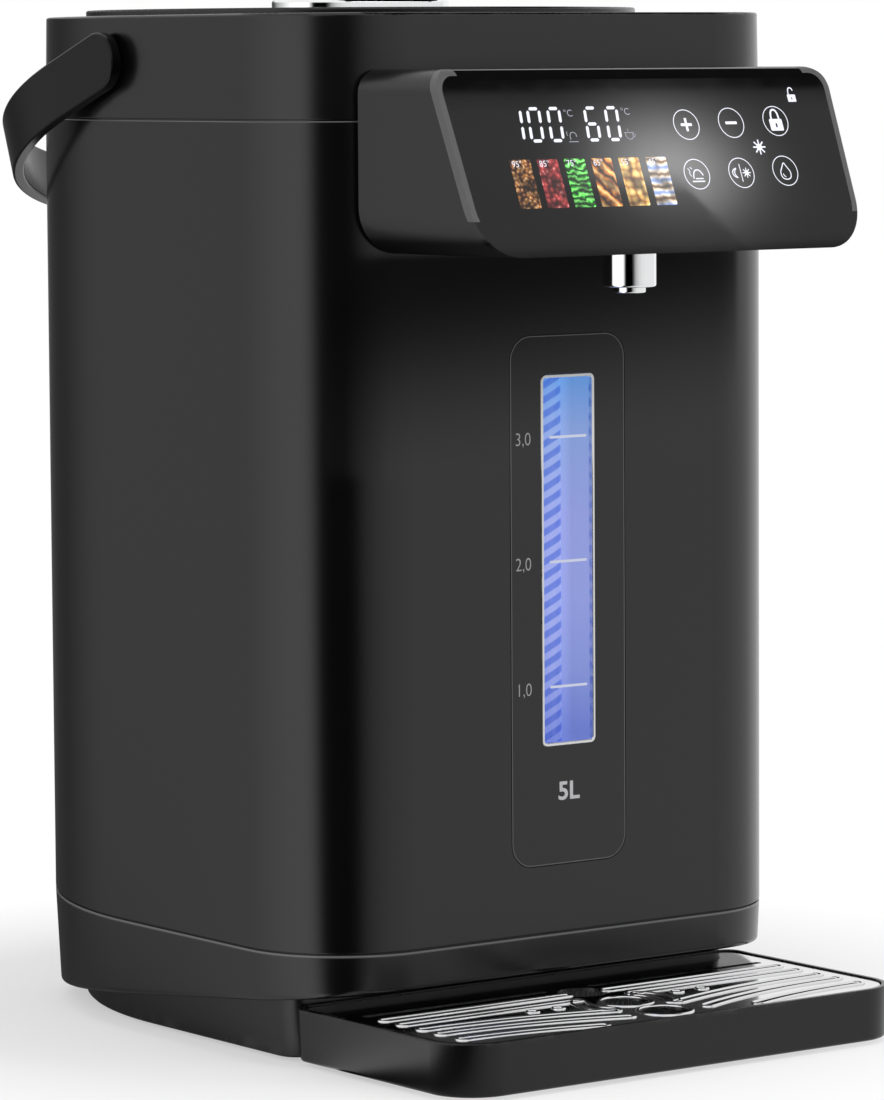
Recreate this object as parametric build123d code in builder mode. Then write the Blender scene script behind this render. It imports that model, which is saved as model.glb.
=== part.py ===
"""Electric thermo pot: a heated tank in a D-shaped body, with a pumped spout over a drip tray.

Millimetres. +Z is up, the front faces -Y, and the origin is where the tank's axis meets the table.
"""

import os
from math import atan2, cos, degrees, radians, sin, sqrt, tan

from build123d import *

os.makedirs("parts", exist_ok=True)

# ---------------------------------------------------------------- driving dimensions
body_width = 215.0
body_height = 357.0  # table to the collar's deck
side_gap = 21.6  # tank bore to the body's side
front_gap = 34.1  # tank bore to the body's front, which leaves room for the water gauge
rear_gap = 14.1  # tank bore to the body's back
front_corner_r = 41.0
side_sweep_r = 152.0  # the sides turn in gently towards the back
rear_corner_r = 45.0
back_curve_depth = 102.0  # the part of the depth that the sweep and the rear corner take

floor_gap = 1.5  # table to the underside of the base
plastic_wall = 2.4
jacket_t = 1.2
part_gap = 0.3  # between soft, curved or moving neighbours
seat_gap = 0.1  # between a fixed piece and its seat
running_gap = 0.05  # a shaft in its bore, on the radius
seam_gap = 0.5
seam_round = 0.4

shell_height = 38.4  # lower shell, from the base's underside to the jacket
shell_rear_lift = 0.5  # the shell's edge above the base's underside, at the back
shell_front_rise = 24.1  # and how much higher it is at the front
shell_draft = 1.8
shell_edge_r = 2.2
collar_height = 35.8
collar_draft = 0.6
collar_edge_r = 1.0
deck_t = 3.0
lip_height = 5.0  # shell and collar each stand a lip inside the jacket
lip_t = 1.6
skirt_inset = 11.0
skirt_corner_r = 8.0
skirt_height = 34.5

tray_half_width = 97.0
tray_reach = 67.0  # in front of the body
tray_under = 30.0  # under the body
tray_height = 18.3
tray_corner_r = 17.8
tray_rim = 1.9
basin_t = 0.8
grille_t = 1.2
grille_edge_r = 0.5
grille_drop = 0.5  # below the tray's rim

lid_r = 98.5
lid_rise = 2.2  # above the collar's deck
lid_depth = 17.0  # below the deck
lid_draft = 0.9
lid_wall = 2.2
lid_top_t = 2.5
lid_edge_r = 0.8
well_gap = 0.4
well_wall = 2.0
well_floor_t = 2.5
well_lift = 1.5  # the well's floor over the tank's mouth
hinge_y = 75.0
hinge_drop = 2.2  # hinge axis below the deck
knuckle_r = 4.2
knuckle_width = 16.0
knuckle_gap = 0.6
hinge_pin_r = 1.5
mouth_r = 66.5
plug_r = 62.0
plug_depth = 13.0
liner_t = 1.0

lever_length = 70.0
lever_width = 36.0
lever_t = 3.2
lever_skin = 1.2
lever_edge_r = 1.4
lever_pivot_y = -14.0
lever_pivot_drop = 4.0  # pivot below the lid's top
lever_pin_r = 1.5
lug_wall = 1.7
lever_arm_reach = 10.2
lever_arm_width = 4.0
lever_arm_t = 3.0
lever_lug_x = 10.0
lever_lug_width = 5.2
ear_width = 4.0
pocket_depth = 8.5
pocket_wall = 1.8
pocket_side_margin = 3.5
pocket_front_margin = 4.5
pocket_rear_margin = 14.0
bolt_width = 12.0
bolt_t = 3.0
bolt_reach = 2.9  # past the lid's rim, into the collar's notch
bolt_drop = 12.2  # the bolt's top below the lid's top
steam_y = 50.0
steam_r = 11.0
steam_ring_height = 9.0
steam_cap_height = 6.8
steam_sink = 0.2

handle_tilt = 19.7  # degrees below level, at rest
handle_pivot_y = 1.0
handle_pivot_drop = 16.0  # pivot below the deck
handle_half_width = 113.0
handle_straight = 28.7
handle_bow = 117.5
strap_width = 20.4
strap_t = 4.4
pivot_r = 4.0
pivot_skin = 1.5  # strap left over the pivot's end
pivot_boss_r = 8.0

head_top_drop = 19.0  # below the deck
head_height = 61.5
head_reach_top = 36.5
head_reach_bottom = 61.8
head_half_back = 87.7
head_half_front = 82.2
head_wall = 2.5
head_top_r = 8.0
head_bottom_r = 16.0
glass_t = 3.0
glass_roll_r = 6.0
bezel_width = 2.2
bezel_end_rise = 12.0  # the bezels stop this far above the head's underside
screen_width = 150.0
screen_height = 46.0
screen_drop = 8.0  # along the slope, from the glass's top edge
screen_t = 2.4
board_t = 1.6
board_margin = 2.0
head_opening_width = 144.0
head_opening_rise = 8.0

spout_reach = 34.5  # in front of the body
spout_r = 9.1
spout_drop = 12.2
spout_flange_r = 12.0
spout_flange_t = 2.0
nozzle_r = 5.5
nozzle_bore_r = 3.7
nozzle_drop = 2.0
nozzle_inside = 14.0

plate_width = 49.6
plate_height = 183.1
plate_bottom = 63.8
plate_corner_r = 8.5
plate_t = 2.0
window_width = 23.3
window_height = 128.4
window_bottom = 105.0
window_corner_r = 2.2
frame_width = 1.1
frame_rise = 0.25
lens_drop = 0.3
flange_margin = 5.0
box_wall = 1.5
box_half_width = 20.0
box_margin = 8.0  # light box past the window, above and below
card_gap = 1.0  # behind the sight tube
card_t = 1.0
led_gap = 1.2  # scale card to the lamps' board
led_size = 3.0
led_height = 0.9
led_pitch_x = 16.0
led_pitch_z = 20.0
led_rows = 7

tank_wall = 0.8
tank_bottom = 82.0
tank_floor_r = 8.0
shoulder_z = 312.0
neck_z = 324.0
mouth_z = 331.0
stub_length = 14.0
hose_wall = 1.8
gauge_depth = 14.0  # sight tube's axis behind the body's front
gauge_stub_y = -60.0
gauge_bend_r = 15.0
riser_bend_r = 13.0
hose_grip = 9.0  # how far a hose is pushed over its stub
gauge_sag = 30.0  # the gauge hose's lowest run below the tank
tube_r = 6.0
tube_wall = 1.2
tube_bottom = 92.0
tube_length = 206.0
cap_length = 8.0
seal_r = 70.7
seal_foot = 4.0
seal_flange_t = 1.2
wrap_gap = 2.9
wrap_t = 2.9
wrap_foot = 3.0
wrap_height = 226.0
band_t = 2.4
band_bottom = 108.0
band_height = 30.0
heater_r = 36.0
heater_y = 10.0
heater_t = 5.0
sensor_x = 52.0
sensor_y = 10.0
sensor_r = 8.0
sensor_height = 9.0
fuse_x = 42.0
fuse_y = -32.0
fuse_r = 5.0
fuse_height = 7.0

pump_x = -30.0
pump_y = -22.0
pump_r = 22.0
pump_wall = 2.5
chamber_r = 17.0
chamber_height = 12.0
cup_height = 9.0  # under the chamber, round the drive magnet
stub_gap = 4.0  # between the pump's inlet and the tank's outlet
outlet_reach = 12.0
impeller_r = 15.0
magnet_r = 14.0
magnet_t = 6.0
magnet_gap = 1.5
motor_r = 17.0
motor_height = 24.0
bracket_t = 1.5
shaft_r = 1.5
shaft_start = 2.0
vane_count = 6
vane_t = 1.2
vane_disc_t = 2.0
vane_lift = 0.6  # clear of the chamber's floor

post_r = 4.0
post_ring_r = 70.0
screw_r = 1.5
screw_head_r = 3.0
screw_head_t = 1.6
screw_length = 10.0
screw_way = 14.0
screw_sink = 0.3
over = 1.0  # how far a cutting shape runs past what it cuts
pcb_width = 84.0
pcb_depth = 54.0
pcb_y = 48.0
pcb_z = 12.5
standoff_r = 3.0
standoff_margin = 5.0
inlet_z = 21.0
inlet_width = 30.0
inlet_height = 22.0
inlet_depth = 20.0
inlet_wall = 2.5
inlet_sink = 1.6
foot_r = 9.0
foot_t = 3.0
foot_front_x = 72.0  # a fifth foot stands under the tank's axis
foot_rear_x = 56.0
foot_y = 60.0

# ---------------------------------------------------------------- places worked out from them
half_width = body_width / 2
tank_r = half_width - side_gap
front_y = -(tank_r + front_gap)
back_y = tank_r + rear_gap
sweep_x = half_width - side_sweep_r
sweep_y = back_y - back_curve_depth
rear_y = back_y - rear_corner_r
rear_x = sweep_x + sqrt((side_sweep_r - rear_corner_r) ** 2 - (rear_y - sweep_y) ** 2)
sweep_angle = degrees(atan2(rear_y - sweep_y, rear_x - sweep_x))

seam_low = floor_gap + shell_height
seam_up = body_height - collar_height
base_floor_z = floor_gap + plastic_wall
skirt_front = front_y + tray_under + seam_gap
jacket_inside = jacket_t + seat_gap
lip_inset = jacket_inside + lip_t

hinge_z = body_height - hinge_drop
hinge_cover_y = hinge_y + knuckle_r + knuckle_gap
lid_back_y = hinge_y - knuckle_r - knuckle_gap
lid_top = body_height + lid_rise
lid_bottom = body_height - lid_depth
liner_z = lid_bottom
well_r = lid_r + well_gap
well_z = mouth_z + well_lift
seal_top = mouth_z + seal_foot
lever_pivot_z = lid_top - lever_pivot_drop
bolt_z = lid_top - bolt_drop - bolt_t

pivot_z = body_height - handle_pivot_drop
head_top = body_height - head_top_drop
head_bottom = head_top - head_height
head_slope = atan2(head_reach_bottom - head_reach_top, head_height)
spout_y = front_y - spout_reach
gauge_y = front_y + gauge_depth
tray_top = floor_gap + tray_height
grille_z = tray_top - grille_drop - grille_t

hose_bore_r = nozzle_r + seat_gap
hose_r = hose_bore_r + hose_wall
gauge_bore_r = tube_r + seat_gap
gauge_hose_r = gauge_bore_r + hose_wall
tank_under = tank_bottom - tank_wall
stub_end = tank_under - stub_length
motor_z = base_floor_z + 2.0
bracket_z = motor_z + motor_height
cup_z = bracket_z + bracket_t
chamber_z = cup_z + cup_height + pump_wall
cover_z = chamber_z + chamber_height
magnet_z = chamber_z - pump_wall - 1.0 - magnet_t
outlet_z = chamber_z + chamber_height / 2
outlet_end = pump_y - pump_r - outlet_reach

HANDLE = Plane(
    origin=(0, handle_pivot_y, pivot_z),
    x_dir=(1, 0, 0),
    z_dir=(0, sin(radians(handle_tilt)), cos(radians(handle_tilt))),
)
GLASS = Plane(
    origin=(0, front_y - head_reach_top, head_top),
    x_dir=(1, 0, 0),
    z_dir=(0, -cos(head_slope), sin(head_slope)),
)


# ---------------------------------------------------------------- shared shapes
def body_outline(inset=0.0):
    """Plan of the body: flat front, round front corners, sides that sweep in to round rear corners."""
    side = half_width - inset
    corner = front_corner_r - inset
    with BuildSketch() as outline:
        with BuildLine():
            Line((0, front_y + inset), (side - corner, front_y + inset))
            CenterArc((side - corner, front_y + front_corner_r), corner, -90, 90)
            Line((side, front_y + front_corner_r), (side, sweep_y))
            CenterArc((sweep_x, sweep_y), side_sweep_r - inset, 0, sweep_angle)
            CenterArc((rear_x, rear_y), rear_corner_r - inset, sweep_angle, 90 - sweep_angle)
            Line((rear_x, back_y - inset), (0, back_y - inset))
            mirror(about=Plane.YZ)
        make_face()
    return outline.sketch


def body_solid(bottom, top, inset_bottom=0.0, inset_top=None):
    """A solid of the body's plan between two heights, drafted where the insets differ."""
    with BuildPart() as solid:
        with BuildSketch(Plane.XY.offset(bottom)):
            add(body_outline(inset_bottom))
        if inset_top is None:
            extrude(amount=top - bottom)
        else:
            with BuildSketch(Plane.XY.offset(top)):
                add(body_outline(inset_top))
            loft()
    return solid.part


def skirt_outline(inset=0.0):
    """Plan of the base skirt: the body's own plan, set in, and cut off flat behind the drip tray."""
    with BuildSketch() as outline:
        add(body_outline(inset))
        with Locations((0, skirt_front + inset - skirt_inset - body_width)):
            Rectangle(2 * body_width, 2 * body_width, mode=Mode.SUBTRACT)
        fillet(outline.vertices().group_by(Axis.Y)[0], radius=skirt_corner_r)
    return outline.sketch


def round_plate(width, height, radius, bottom):
    """A rounded rectangle about x = 0, standing on a height, for planes that face the front."""
    with BuildSketch() as plate:
        with Locations((0, bottom + height / 2)):
            RectangleRounded(width, height, radius)
    return plate.sketch


def front_plane(y):
    """A sketch plane that faces the front at depth y, with its own X to the right and its own Y up."""
    return Plane(origin=(0, y, 0), x_dir=(1, 0, 0), z_dir=(0, -1, 0))


def side_plane(x):
    """A sketch plane across the body at x, with its own X along +Y and its own Y up."""
    return Plane(origin=(x, 0, 0), x_dir=(0, 1, 0), z_dir=(1, 0, 0))


def hose(points, bend_radius, outer, inner):
    """A round tube along straight runs joined by tangent arcs."""
    with BuildPart() as tube:
        with BuildLine() as route:
            FilletPolyline(*points, radius=bend_radius)
        with BuildSketch(Plane(origin=route.line @ 0, z_dir=route.line % 0)):
            Circle(outer)
            Circle(inner, mode=Mode.SUBTRACT)
        sweep(path=route.line)
    return tube.part


def save(part, name):
    """Labels a finished piece and writes it to its own file."""
    part.label = name
    export_step(part, f"parts/{name}.step")


# ---------------------------------------------------------------- base skirt
# A shallow pan under the body, set in from its sides. It ends where the drip tray plugs in, and its posts
# carry the tank.
inlet_back = back_y - inlet_sink
inlet_front = inlet_back - inlet_depth
tab_x = 58.0
tab_width = 16.0
tab_reach = 6.0
tab_z = 9.0
tab_t = 3.0
tab_play = 1.0
foot_places = [
    (0, 0),
    (-foot_front_x, -foot_y),
    (foot_front_x, -foot_y),
    (-foot_rear_x, foot_y),
    (foot_rear_x, foot_y),
]

with BuildPart() as base_skirt:
    with BuildSketch(Plane.XY.offset(floor_gap)):
        add(skirt_outline(skirt_inset))
    extrude(amount=skirt_height)
    chamfer(base_skirt.faces().sort_by(Axis.Z)[0].edges(), length=0.6)
    with BuildSketch(Plane.XY.offset(base_floor_z)):
        add(skirt_outline(skirt_inset + plastic_wall))
    extrude(amount=skirt_height, mode=Mode.SUBTRACT)
    # tank posts, standoffs for the power board, and a seat for the pump motor
    with BuildSketch(Plane.XY.offset(base_floor_z)):
        with PolarLocations(post_ring_r, 4, start_angle=45):
            Circle(post_r)
    extrude(amount=tank_under - base_floor_z)
    with BuildSketch(Plane.XY.offset(base_floor_z)):
        with Locations((0, pcb_y)):
            with GridLocations(pcb_width - 2 * standoff_margin, pcb_depth - 2 * standoff_margin, 2, 2):
                Circle(standoff_r)
    extrude(amount=pcb_z - base_floor_z)
    with BuildSketch(Plane.XY.offset(base_floor_z)):
        with Locations((pump_x, pump_y)):
            Circle(motor_r)
    extrude(amount=motor_z - base_floor_z)
    # screw ways up into the posts, pockets for the feet, slots for the tray's tabs, a way for the inlet
    with Locations(Plane.XY.offset(floor_gap).rotated((180, 0, 0))):
        with PolarLocations(post_ring_r, 4, start_angle=45):
            CounterBoreHole(
                radius=screw_r + running_gap,
                counter_bore_radius=screw_head_r + part_gap,
                counter_bore_depth=screw_head_t + screw_sink + seat_gap,
                depth=screw_way,
            )
    with BuildSketch(Plane.XY.offset(floor_gap)):
        with Locations(*foot_places):
            Circle(foot_r + seat_gap)
    extrude(amount=foot_t - floor_gap, mode=Mode.SUBTRACT)
    with BuildSketch(front_plane(skirt_front - over)):
        with Locations((-tab_x, tab_z + tab_t / 2), (tab_x, tab_z + tab_t / 2)):
            Rectangle(tab_width + tab_play, tab_t + tab_play)
    extrude(amount=-(plastic_wall + 2 * over), mode=Mode.SUBTRACT)
    with BuildSketch(front_plane(back_y)):
        with Locations((0, inlet_z)):
            Rectangle(inlet_width + 2 * seam_gap, inlet_height + 2 * seam_gap)
    extrude(amount=skirt_inset + plastic_wall + 2 * over, mode=Mode.SUBTRACT)
save(base_skirt.part, "base_skirt")

# ---------------------------------------------------------------- rubber feet
with BuildPart() as rubber_feet:
    with BuildSketch():
        with Locations(*foot_places):
            Circle(foot_r)
    extrude(amount=foot_t)
    chamfer(rubber_feet.faces().group_by(Axis.Z)[0].edges(), length=0.5)
save(rubber_feet.part, "rubber_feet")

# ---------------------------------------------------------------- base screws
with BuildPart() as base_screws:
    with BuildSketch(Plane.XY.offset(floor_gap + screw_sink)):
        with PolarLocations(post_ring_r, 4, start_angle=45):
            Circle(screw_head_r)
    extrude(amount=screw_head_t)
    with BuildSketch(Plane.XY.offset(floor_gap + screw_sink)):
        with PolarLocations(post_ring_r, 4, start_angle=45):
            Circle(screw_r)
    extrude(amount=screw_head_t + screw_length)
save(base_screws.part, "base_screws")

# ---------------------------------------------------------------- lower shell
# The band under the jacket. Its lower edge rises towards the front, and its floor closes in on the skirt.
shell_top = seam_low - seam_gap / 2
edge_z = floor_gap + shell_rear_lift
edge_rise = shell_front_rise / (back_y - front_y)


def below_edge(lift):
    """All that lies under the shell's rising lower edge, as a side view."""
    with BuildSketch() as view:
        with BuildLine():
            Polyline(
                (back_y + over, edge_z + lift - over * edge_rise),
                (front_y - over, edge_z + lift + shell_front_rise + over * edge_rise),
                (front_y - over, -body_height),
                (back_y + over, -body_height),
                close=True,
            )
        make_face()
    return view.sketch


with BuildPart() as lower_shell:
    add(body_solid(floor_gap, shell_top, shell_draft, 0.0))
    with BuildSketch(side_plane(0)):
        add(below_edge(0))
    extrude(amount=body_width, both=True, mode=Mode.SUBTRACT)
    fillet(lower_shell.faces().sort_by(Axis.Z)[0].edges(), radius=shell_edge_r)
    fillet(lower_shell.faces().sort_by(Axis.Z)[-1].edges(), radius=seam_round)
with BuildPart() as shell_hollow:
    add(body_solid(floor_gap, shell_top + over, shell_draft + plastic_wall, plastic_wall))
    with BuildSketch(side_plane(0)):
        add(below_edge(plastic_wall))
    extrude(amount=body_width, both=True, mode=Mode.SUBTRACT)
    with BuildSketch():
        add(skirt_outline(skirt_inset - part_gap))
    extrude(amount=seam_low)
with lower_shell:
    add(shell_hollow.part, mode=Mode.SUBTRACT)
    with BuildSketch(Plane.XY.offset(shell_top - lip_height)):
        add(body_outline(jacket_inside))
        add(body_outline(lip_inset), mode=Mode.SUBTRACT)
    extrude(amount=2 * lip_height)
    with BuildSketch(front_plane(back_y)):
        with Locations((0, inlet_z)):
            Rectangle(inlet_width + 2 * seat_gap, inlet_height + 2 * seat_gap)
    extrude(amount=inlet_depth, mode=Mode.SUBTRACT)
save(lower_shell.part, "lower_shell")

# ---------------------------------------------------------------- mains inlet and its pins
inlet_floor = 3.0
pin_length = 14.0
pin_pitch = 7.0
pin_width = 2.0
pin_height = 4.0
earth_rise = 3.5

with BuildPart() as mains_inlet:
    with BuildSketch(front_plane(inlet_back)):
        with Locations((0, inlet_z)):
            RectangleRounded(inlet_width, inlet_height, 2)
    extrude(amount=inlet_depth)
    with BuildSketch(front_plane(inlet_back)):
        with Locations((0, inlet_z)):
            RectangleRounded(inlet_width - 2 * inlet_wall, inlet_height - 2 * inlet_wall, 3)
    extrude(amount=inlet_depth - inlet_floor, mode=Mode.SUBTRACT)
save(mains_inlet.part, "mains_inlet")

with BuildPart() as inlet_pins:
    with BuildSketch(front_plane(inlet_front + inlet_floor + pin_length)):
        with Locations((-pin_pitch, inlet_z), (0, inlet_z + earth_rise), (pin_pitch, inlet_z)):
            RectangleRounded(pin_width, pin_height, pin_width / 4)
    extrude(amount=pin_length)
save(inlet_pins.part, "inlet_pins")

# ---------------------------------------------------------------- body jacket
# A drawn sheet-metal sleeve between the two moulded bands, with windows for the gauge plate and the head.
jacket_bottom = seam_low + seam_gap / 2
jacket_top = seam_up - seam_gap / 2

with BuildPart() as body_jacket:
    add(body_solid(jacket_bottom, jacket_top))
    outer_rims = body_jacket.faces().filter_by(Axis.Z).edges()
    fillet(outer_rims, radius=seam_round)
    add(body_solid(jacket_bottom - over, jacket_top + over, jacket_t), mode=Mode.SUBTRACT)
    with BuildSketch(front_plane(front_y - over)):
        add(round_plate(plate_width + 2 * part_gap, plate_height + 2 * part_gap,
                        plate_corner_r + part_gap, plate_bottom - part_gap))
        with Locations((0, (head_bottom + head_opening_rise + jacket_top - lip_height) / 2)):
            Rectangle(head_opening_width, jacket_top - lip_height - head_bottom - head_opening_rise)
    extrude(amount=-(jacket_t + 2 * over), mode=Mode.SUBTRACT)
save(body_jacket.part, "body_jacket")

# ---------------------------------------------------------------- top collar
# The moulded shoulder. A D-shaped well takes the lid, and its floor holds the tank's mouth.
collar_bottom = seam_up + seam_gap / 2
boss_inner_x = well_r + well_wall


def well_outline(grow=0.0):
    """Plan of the lid's well: the lid's circle and its gap, cut off flat behind the hinge."""
    with BuildSketch() as outline:
        Circle(well_r + grow)
        with Locations((0, hinge_cover_y + grow + body_width)):
            Rectangle(2 * body_width, 2 * body_width, mode=Mode.SUBTRACT)
    return outline.sketch


def knuckles(count, radius, web_y):
    """Alternate hinge knuckles, each with a web that runs back or forward to web_y."""
    with BuildPart() as barrels:
        with BuildSketch(side_plane(0)):
            with Locations((hinge_y, hinge_z)):
                Circle(radius)
            with Locations(((hinge_y + web_y) / 2, hinge_z - radius / 2)):
                Rectangle(abs(web_y - hinge_y), radius)
        extrude(amount=knuckle_width / 2 - part_gap / 2, both=True)
    with BuildPart() as row:
        with GridLocations(2 * knuckle_width, 1, count, 1):
            add(barrels.part)
    return row.part


with BuildPart() as top_collar:
    add(body_solid(collar_bottom, body_height, 0.0, collar_draft))
    fillet(top_collar.faces().sort_by(Axis.Z)[-1].edges(), radius=collar_edge_r)
    fillet(top_collar.faces().sort_by(Axis.Z)[0].edges(), radius=seam_round)
    add(body_solid(collar_bottom - over, body_height - deck_t, plastic_wall), mode=Mode.SUBTRACT)
    with BuildSketch(Plane.XY.offset(well_z - well_floor_t)):
        add(well_outline(well_wall))
    extrude(until=Until.NEXT)
with BuildPart() as handle_bosses:
    for side in (-1, 1):
        with BuildSketch(side_plane(side * boss_inner_x)):
            with Locations((handle_pivot_y, pivot_z)):
                Circle(pivot_boss_r)
        extrude(amount=side * (half_width - plastic_wall / 2 - collar_draft - boss_inner_x))
with top_collar:
    add(handle_bosses.part)
    with BuildSketch(Plane.XY.offset(well_z)):
        add(well_outline())
    extrude(amount=lid_top - well_z, mode=Mode.SUBTRACT)
    with BuildSketch(Plane.XY.offset(well_z - 2 * well_floor_t)):
        Circle(seal_r + seat_gap)
    extrude(amount=4 * well_floor_t, mode=Mode.SUBTRACT)
    add(knuckles(3, knuckle_r, hinge_cover_y + over))
    with BuildSketch(side_plane(0)):
        with Locations((hinge_y, hinge_z)):
            Circle(hinge_pin_r + running_gap)
    extrude(amount=3 * knuckle_width, both=True, mode=Mode.SUBTRACT)
    # bores for the handle's pivots, and the notch for the latch bolt, open at the top
    with BuildSketch(side_plane(0)):
        with Locations((handle_pivot_y, pivot_z)):
            Circle(pivot_r + running_gap)
    extrude(amount=body_width, both=True, mode=Mode.SUBTRACT)
    with BuildSketch(Plane.XY.offset(bolt_z - over)):
        with Locations((0, -well_r)):
            Rectangle(bolt_width + 2 * over, 2 * (bolt_reach + well_gap + seat_gap))
    extrude(amount=lid_top - bolt_z, mode=Mode.SUBTRACT)
    # the lip that stands inside the jacket
    with BuildSketch(Plane.XY.offset(collar_bottom - lip_height)):
        add(body_outline(jacket_inside))
        add(body_outline(lip_inset), mode=Mode.SUBTRACT)
    extrude(amount=2 * lip_height)
save(top_collar.part, "top_collar")

# ---------------------------------------------------------------- hinge cover
# Closes the lid's circle over the hinge.
with BuildPart() as hinge_cover:
    with BuildSketch(Plane.XY.offset(body_height)):
        Circle(lid_r)
        with Locations((0, hinge_cover_y - body_width)):
            Rectangle(2 * body_width, 2 * body_width, mode=Mode.SUBTRACT)
    extrude(amount=lid_rise)
    chamfer(hinge_cover.faces().sort_by(Axis.Z)[-1].edges(), length=seam_round)
save(hinge_cover.part, "hinge_cover")

# ---------------------------------------------------------------- lid cover
# A round cap, cut off flat in front of the hinge, with a pocket for fingers under the lever.
boss_ring_r = 84.0
lid_boss_r = 4.0
lid_screw_length = 9.0
pocket_front = -(lever_width / 2 + pocket_front_margin)
pocket_back = lever_width / 2 + pocket_rear_margin
pocket_half_width = lever_length / 2 + pocket_side_margin
pocket_floor_z = lid_top - pocket_depth


def lid_outline(radius, back):
    """A disc cut off flat towards the back."""
    with BuildSketch() as outline:
        Circle(radius)
        with Locations((0, back + body_width)):
            Rectangle(2 * body_width, 2 * body_width, mode=Mode.SUBTRACT)
    return outline.sketch


def pocket_outline(grow=0.0):
    """Plan of the finger pocket, which reaches out behind the lever."""
    with BuildSketch() as outline:
        with Locations((0, (pocket_front + pocket_back) / 2)):
            RectangleRounded(
                2 * (pocket_half_width + grow),
                pocket_back - pocket_front + 2 * grow,
                lever_width / 2 + grow,
            )
    return outline.sketch


with BuildPart() as lid_cover:
    with BuildSketch(Plane.XY.offset(lid_bottom)):
        add(lid_outline(lid_r - lid_draft, lid_back_y))
    with BuildSketch(Plane.XY.offset(body_height)):
        add(lid_outline(lid_r, lid_back_y))
    loft()
    with BuildSketch(Plane.XY.offset(body_height)):
        add(lid_outline(lid_r, lid_back_y))
    extrude(amount=lid_rise)
    fillet(lid_cover.faces().sort_by(Axis.Z)[-1].edges(), radius=lid_edge_r)
    with BuildSketch(Plane.XY.offset(lid_bottom)):
        add(lid_outline(lid_r - lid_draft - lid_wall, lid_back_y - lid_wall))
    extrude(amount=lid_top - lid_top_t - lid_bottom, mode=Mode.SUBTRACT)
    # the finger pocket, with two ears for the lever's pin and a slot for its arm
    with BuildSketch(Plane.XY.offset(pocket_floor_z - pocket_wall)):
        add(pocket_outline(pocket_wall))
    extrude(amount=pocket_depth + pocket_wall - lid_top_t / 2)
    with BuildSketch(Plane.XY.offset(pocket_floor_z)):
        add(pocket_outline())
    extrude(amount=pocket_depth + over, mode=Mode.SUBTRACT)
    ear_x = lever_lug_x + lever_lug_width + part_gap
    with BuildSketch(side_plane(0)):
        with Locations((lever_pivot_y, lever_pivot_z)):
            Circle(lever_pin_r + lug_wall)
        with Locations((lever_pivot_y, (pocket_floor_z + lever_pivot_z) / 2)):
            Rectangle(2 * (lever_pin_r + lug_wall), lever_pivot_z - pocket_floor_z)
    extrude(amount=ear_x + ear_width, both=True)
    with BuildSketch(Plane.XY.offset(pocket_floor_z)):
        with Locations((0, lever_pivot_y)):
            Rectangle(2 * ear_x, 2 * (lever_pin_r + lug_wall + well_wall))
    extrude(amount=pocket_depth, mode=Mode.SUBTRACT)
    with BuildSketch(Plane.XY.offset(pocket_floor_z - 2 * pocket_wall)):
        with Locations((0, lever_pivot_y + 2)):
            Rectangle(lever_arm_width + 2 * over, 3 * lever_arm_t)
    extrude(amount=3 * pocket_wall, mode=Mode.SUBTRACT)
    with BuildSketch(side_plane(0)):
        with Locations((lever_pivot_y, lever_pivot_z)):
            Circle(lever_pin_r + running_gap)
    extrude(amount=ear_x + ear_width + over, both=True, mode=Mode.SUBTRACT)
    # the steam cap's hole with its ring, and the screw bosses
    with BuildSketch(Plane.XY.offset(lid_top - steam_ring_height)):
        with Locations((0, steam_y)):
            Circle(steam_r + well_wall)
    extrude(amount=steam_ring_height - lid_top_t / 2)
    with BuildSketch(Plane.XY.offset(lid_top - steam_ring_height - over)):
        with Locations((0, steam_y)):
            Circle(steam_r + seat_gap)
    extrude(amount=steam_ring_height + 2 * over, mode=Mode.SUBTRACT)
    with BuildSketch(Plane.XY.offset(liner_z + liner_t)):
        with PolarLocations(boss_ring_r, 4, start_angle=10, angular_range=-200, endpoint=True):
            Circle(lid_boss_r)
    extrude(amount=lid_top - lid_top_t - liner_z - liner_t)
    with BuildSketch(Plane.XY.offset(liner_z)):
        with PolarLocations(boss_ring_r, 4, start_angle=10, angular_range=-200, endpoint=True):
            Circle(screw_r + running_gap)
    extrude(amount=lid_screw_length + 3, mode=Mode.SUBTRACT)
    # the bolt's way through the front wall, and the hinge knuckles
    with BuildSketch(front_plane(-lid_r - over)):
        with Locations((0, bolt_z + bolt_t / 2)):
            Rectangle(bolt_width + 2 * seat_gap, bolt_t + 2 * seat_gap)
    extrude(amount=-4 * lid_wall, mode=Mode.SUBTRACT)
    add(knuckles(2, knuckle_r, lid_back_y - over))
    with BuildSketch(side_plane(0)):
        with Locations((hinge_y, hinge_z)):
            Circle(hinge_pin_r + running_gap)
    extrude(amount=3 * knuckle_width, both=True, mode=Mode.SUBTRACT)
save(lid_cover.part, "lid_cover")

# ---------------------------------------------------------------- lid hinge pin
with BuildPart() as lid_hinge_pin:
    with BuildSketch(side_plane(0)):
        with Locations((hinge_y, hinge_z)):
            Circle(hinge_pin_r)
    extrude(amount=2.5 * knuckle_width, both=True)
save(lid_hinge_pin.part, "lid_hinge_pin")

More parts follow.
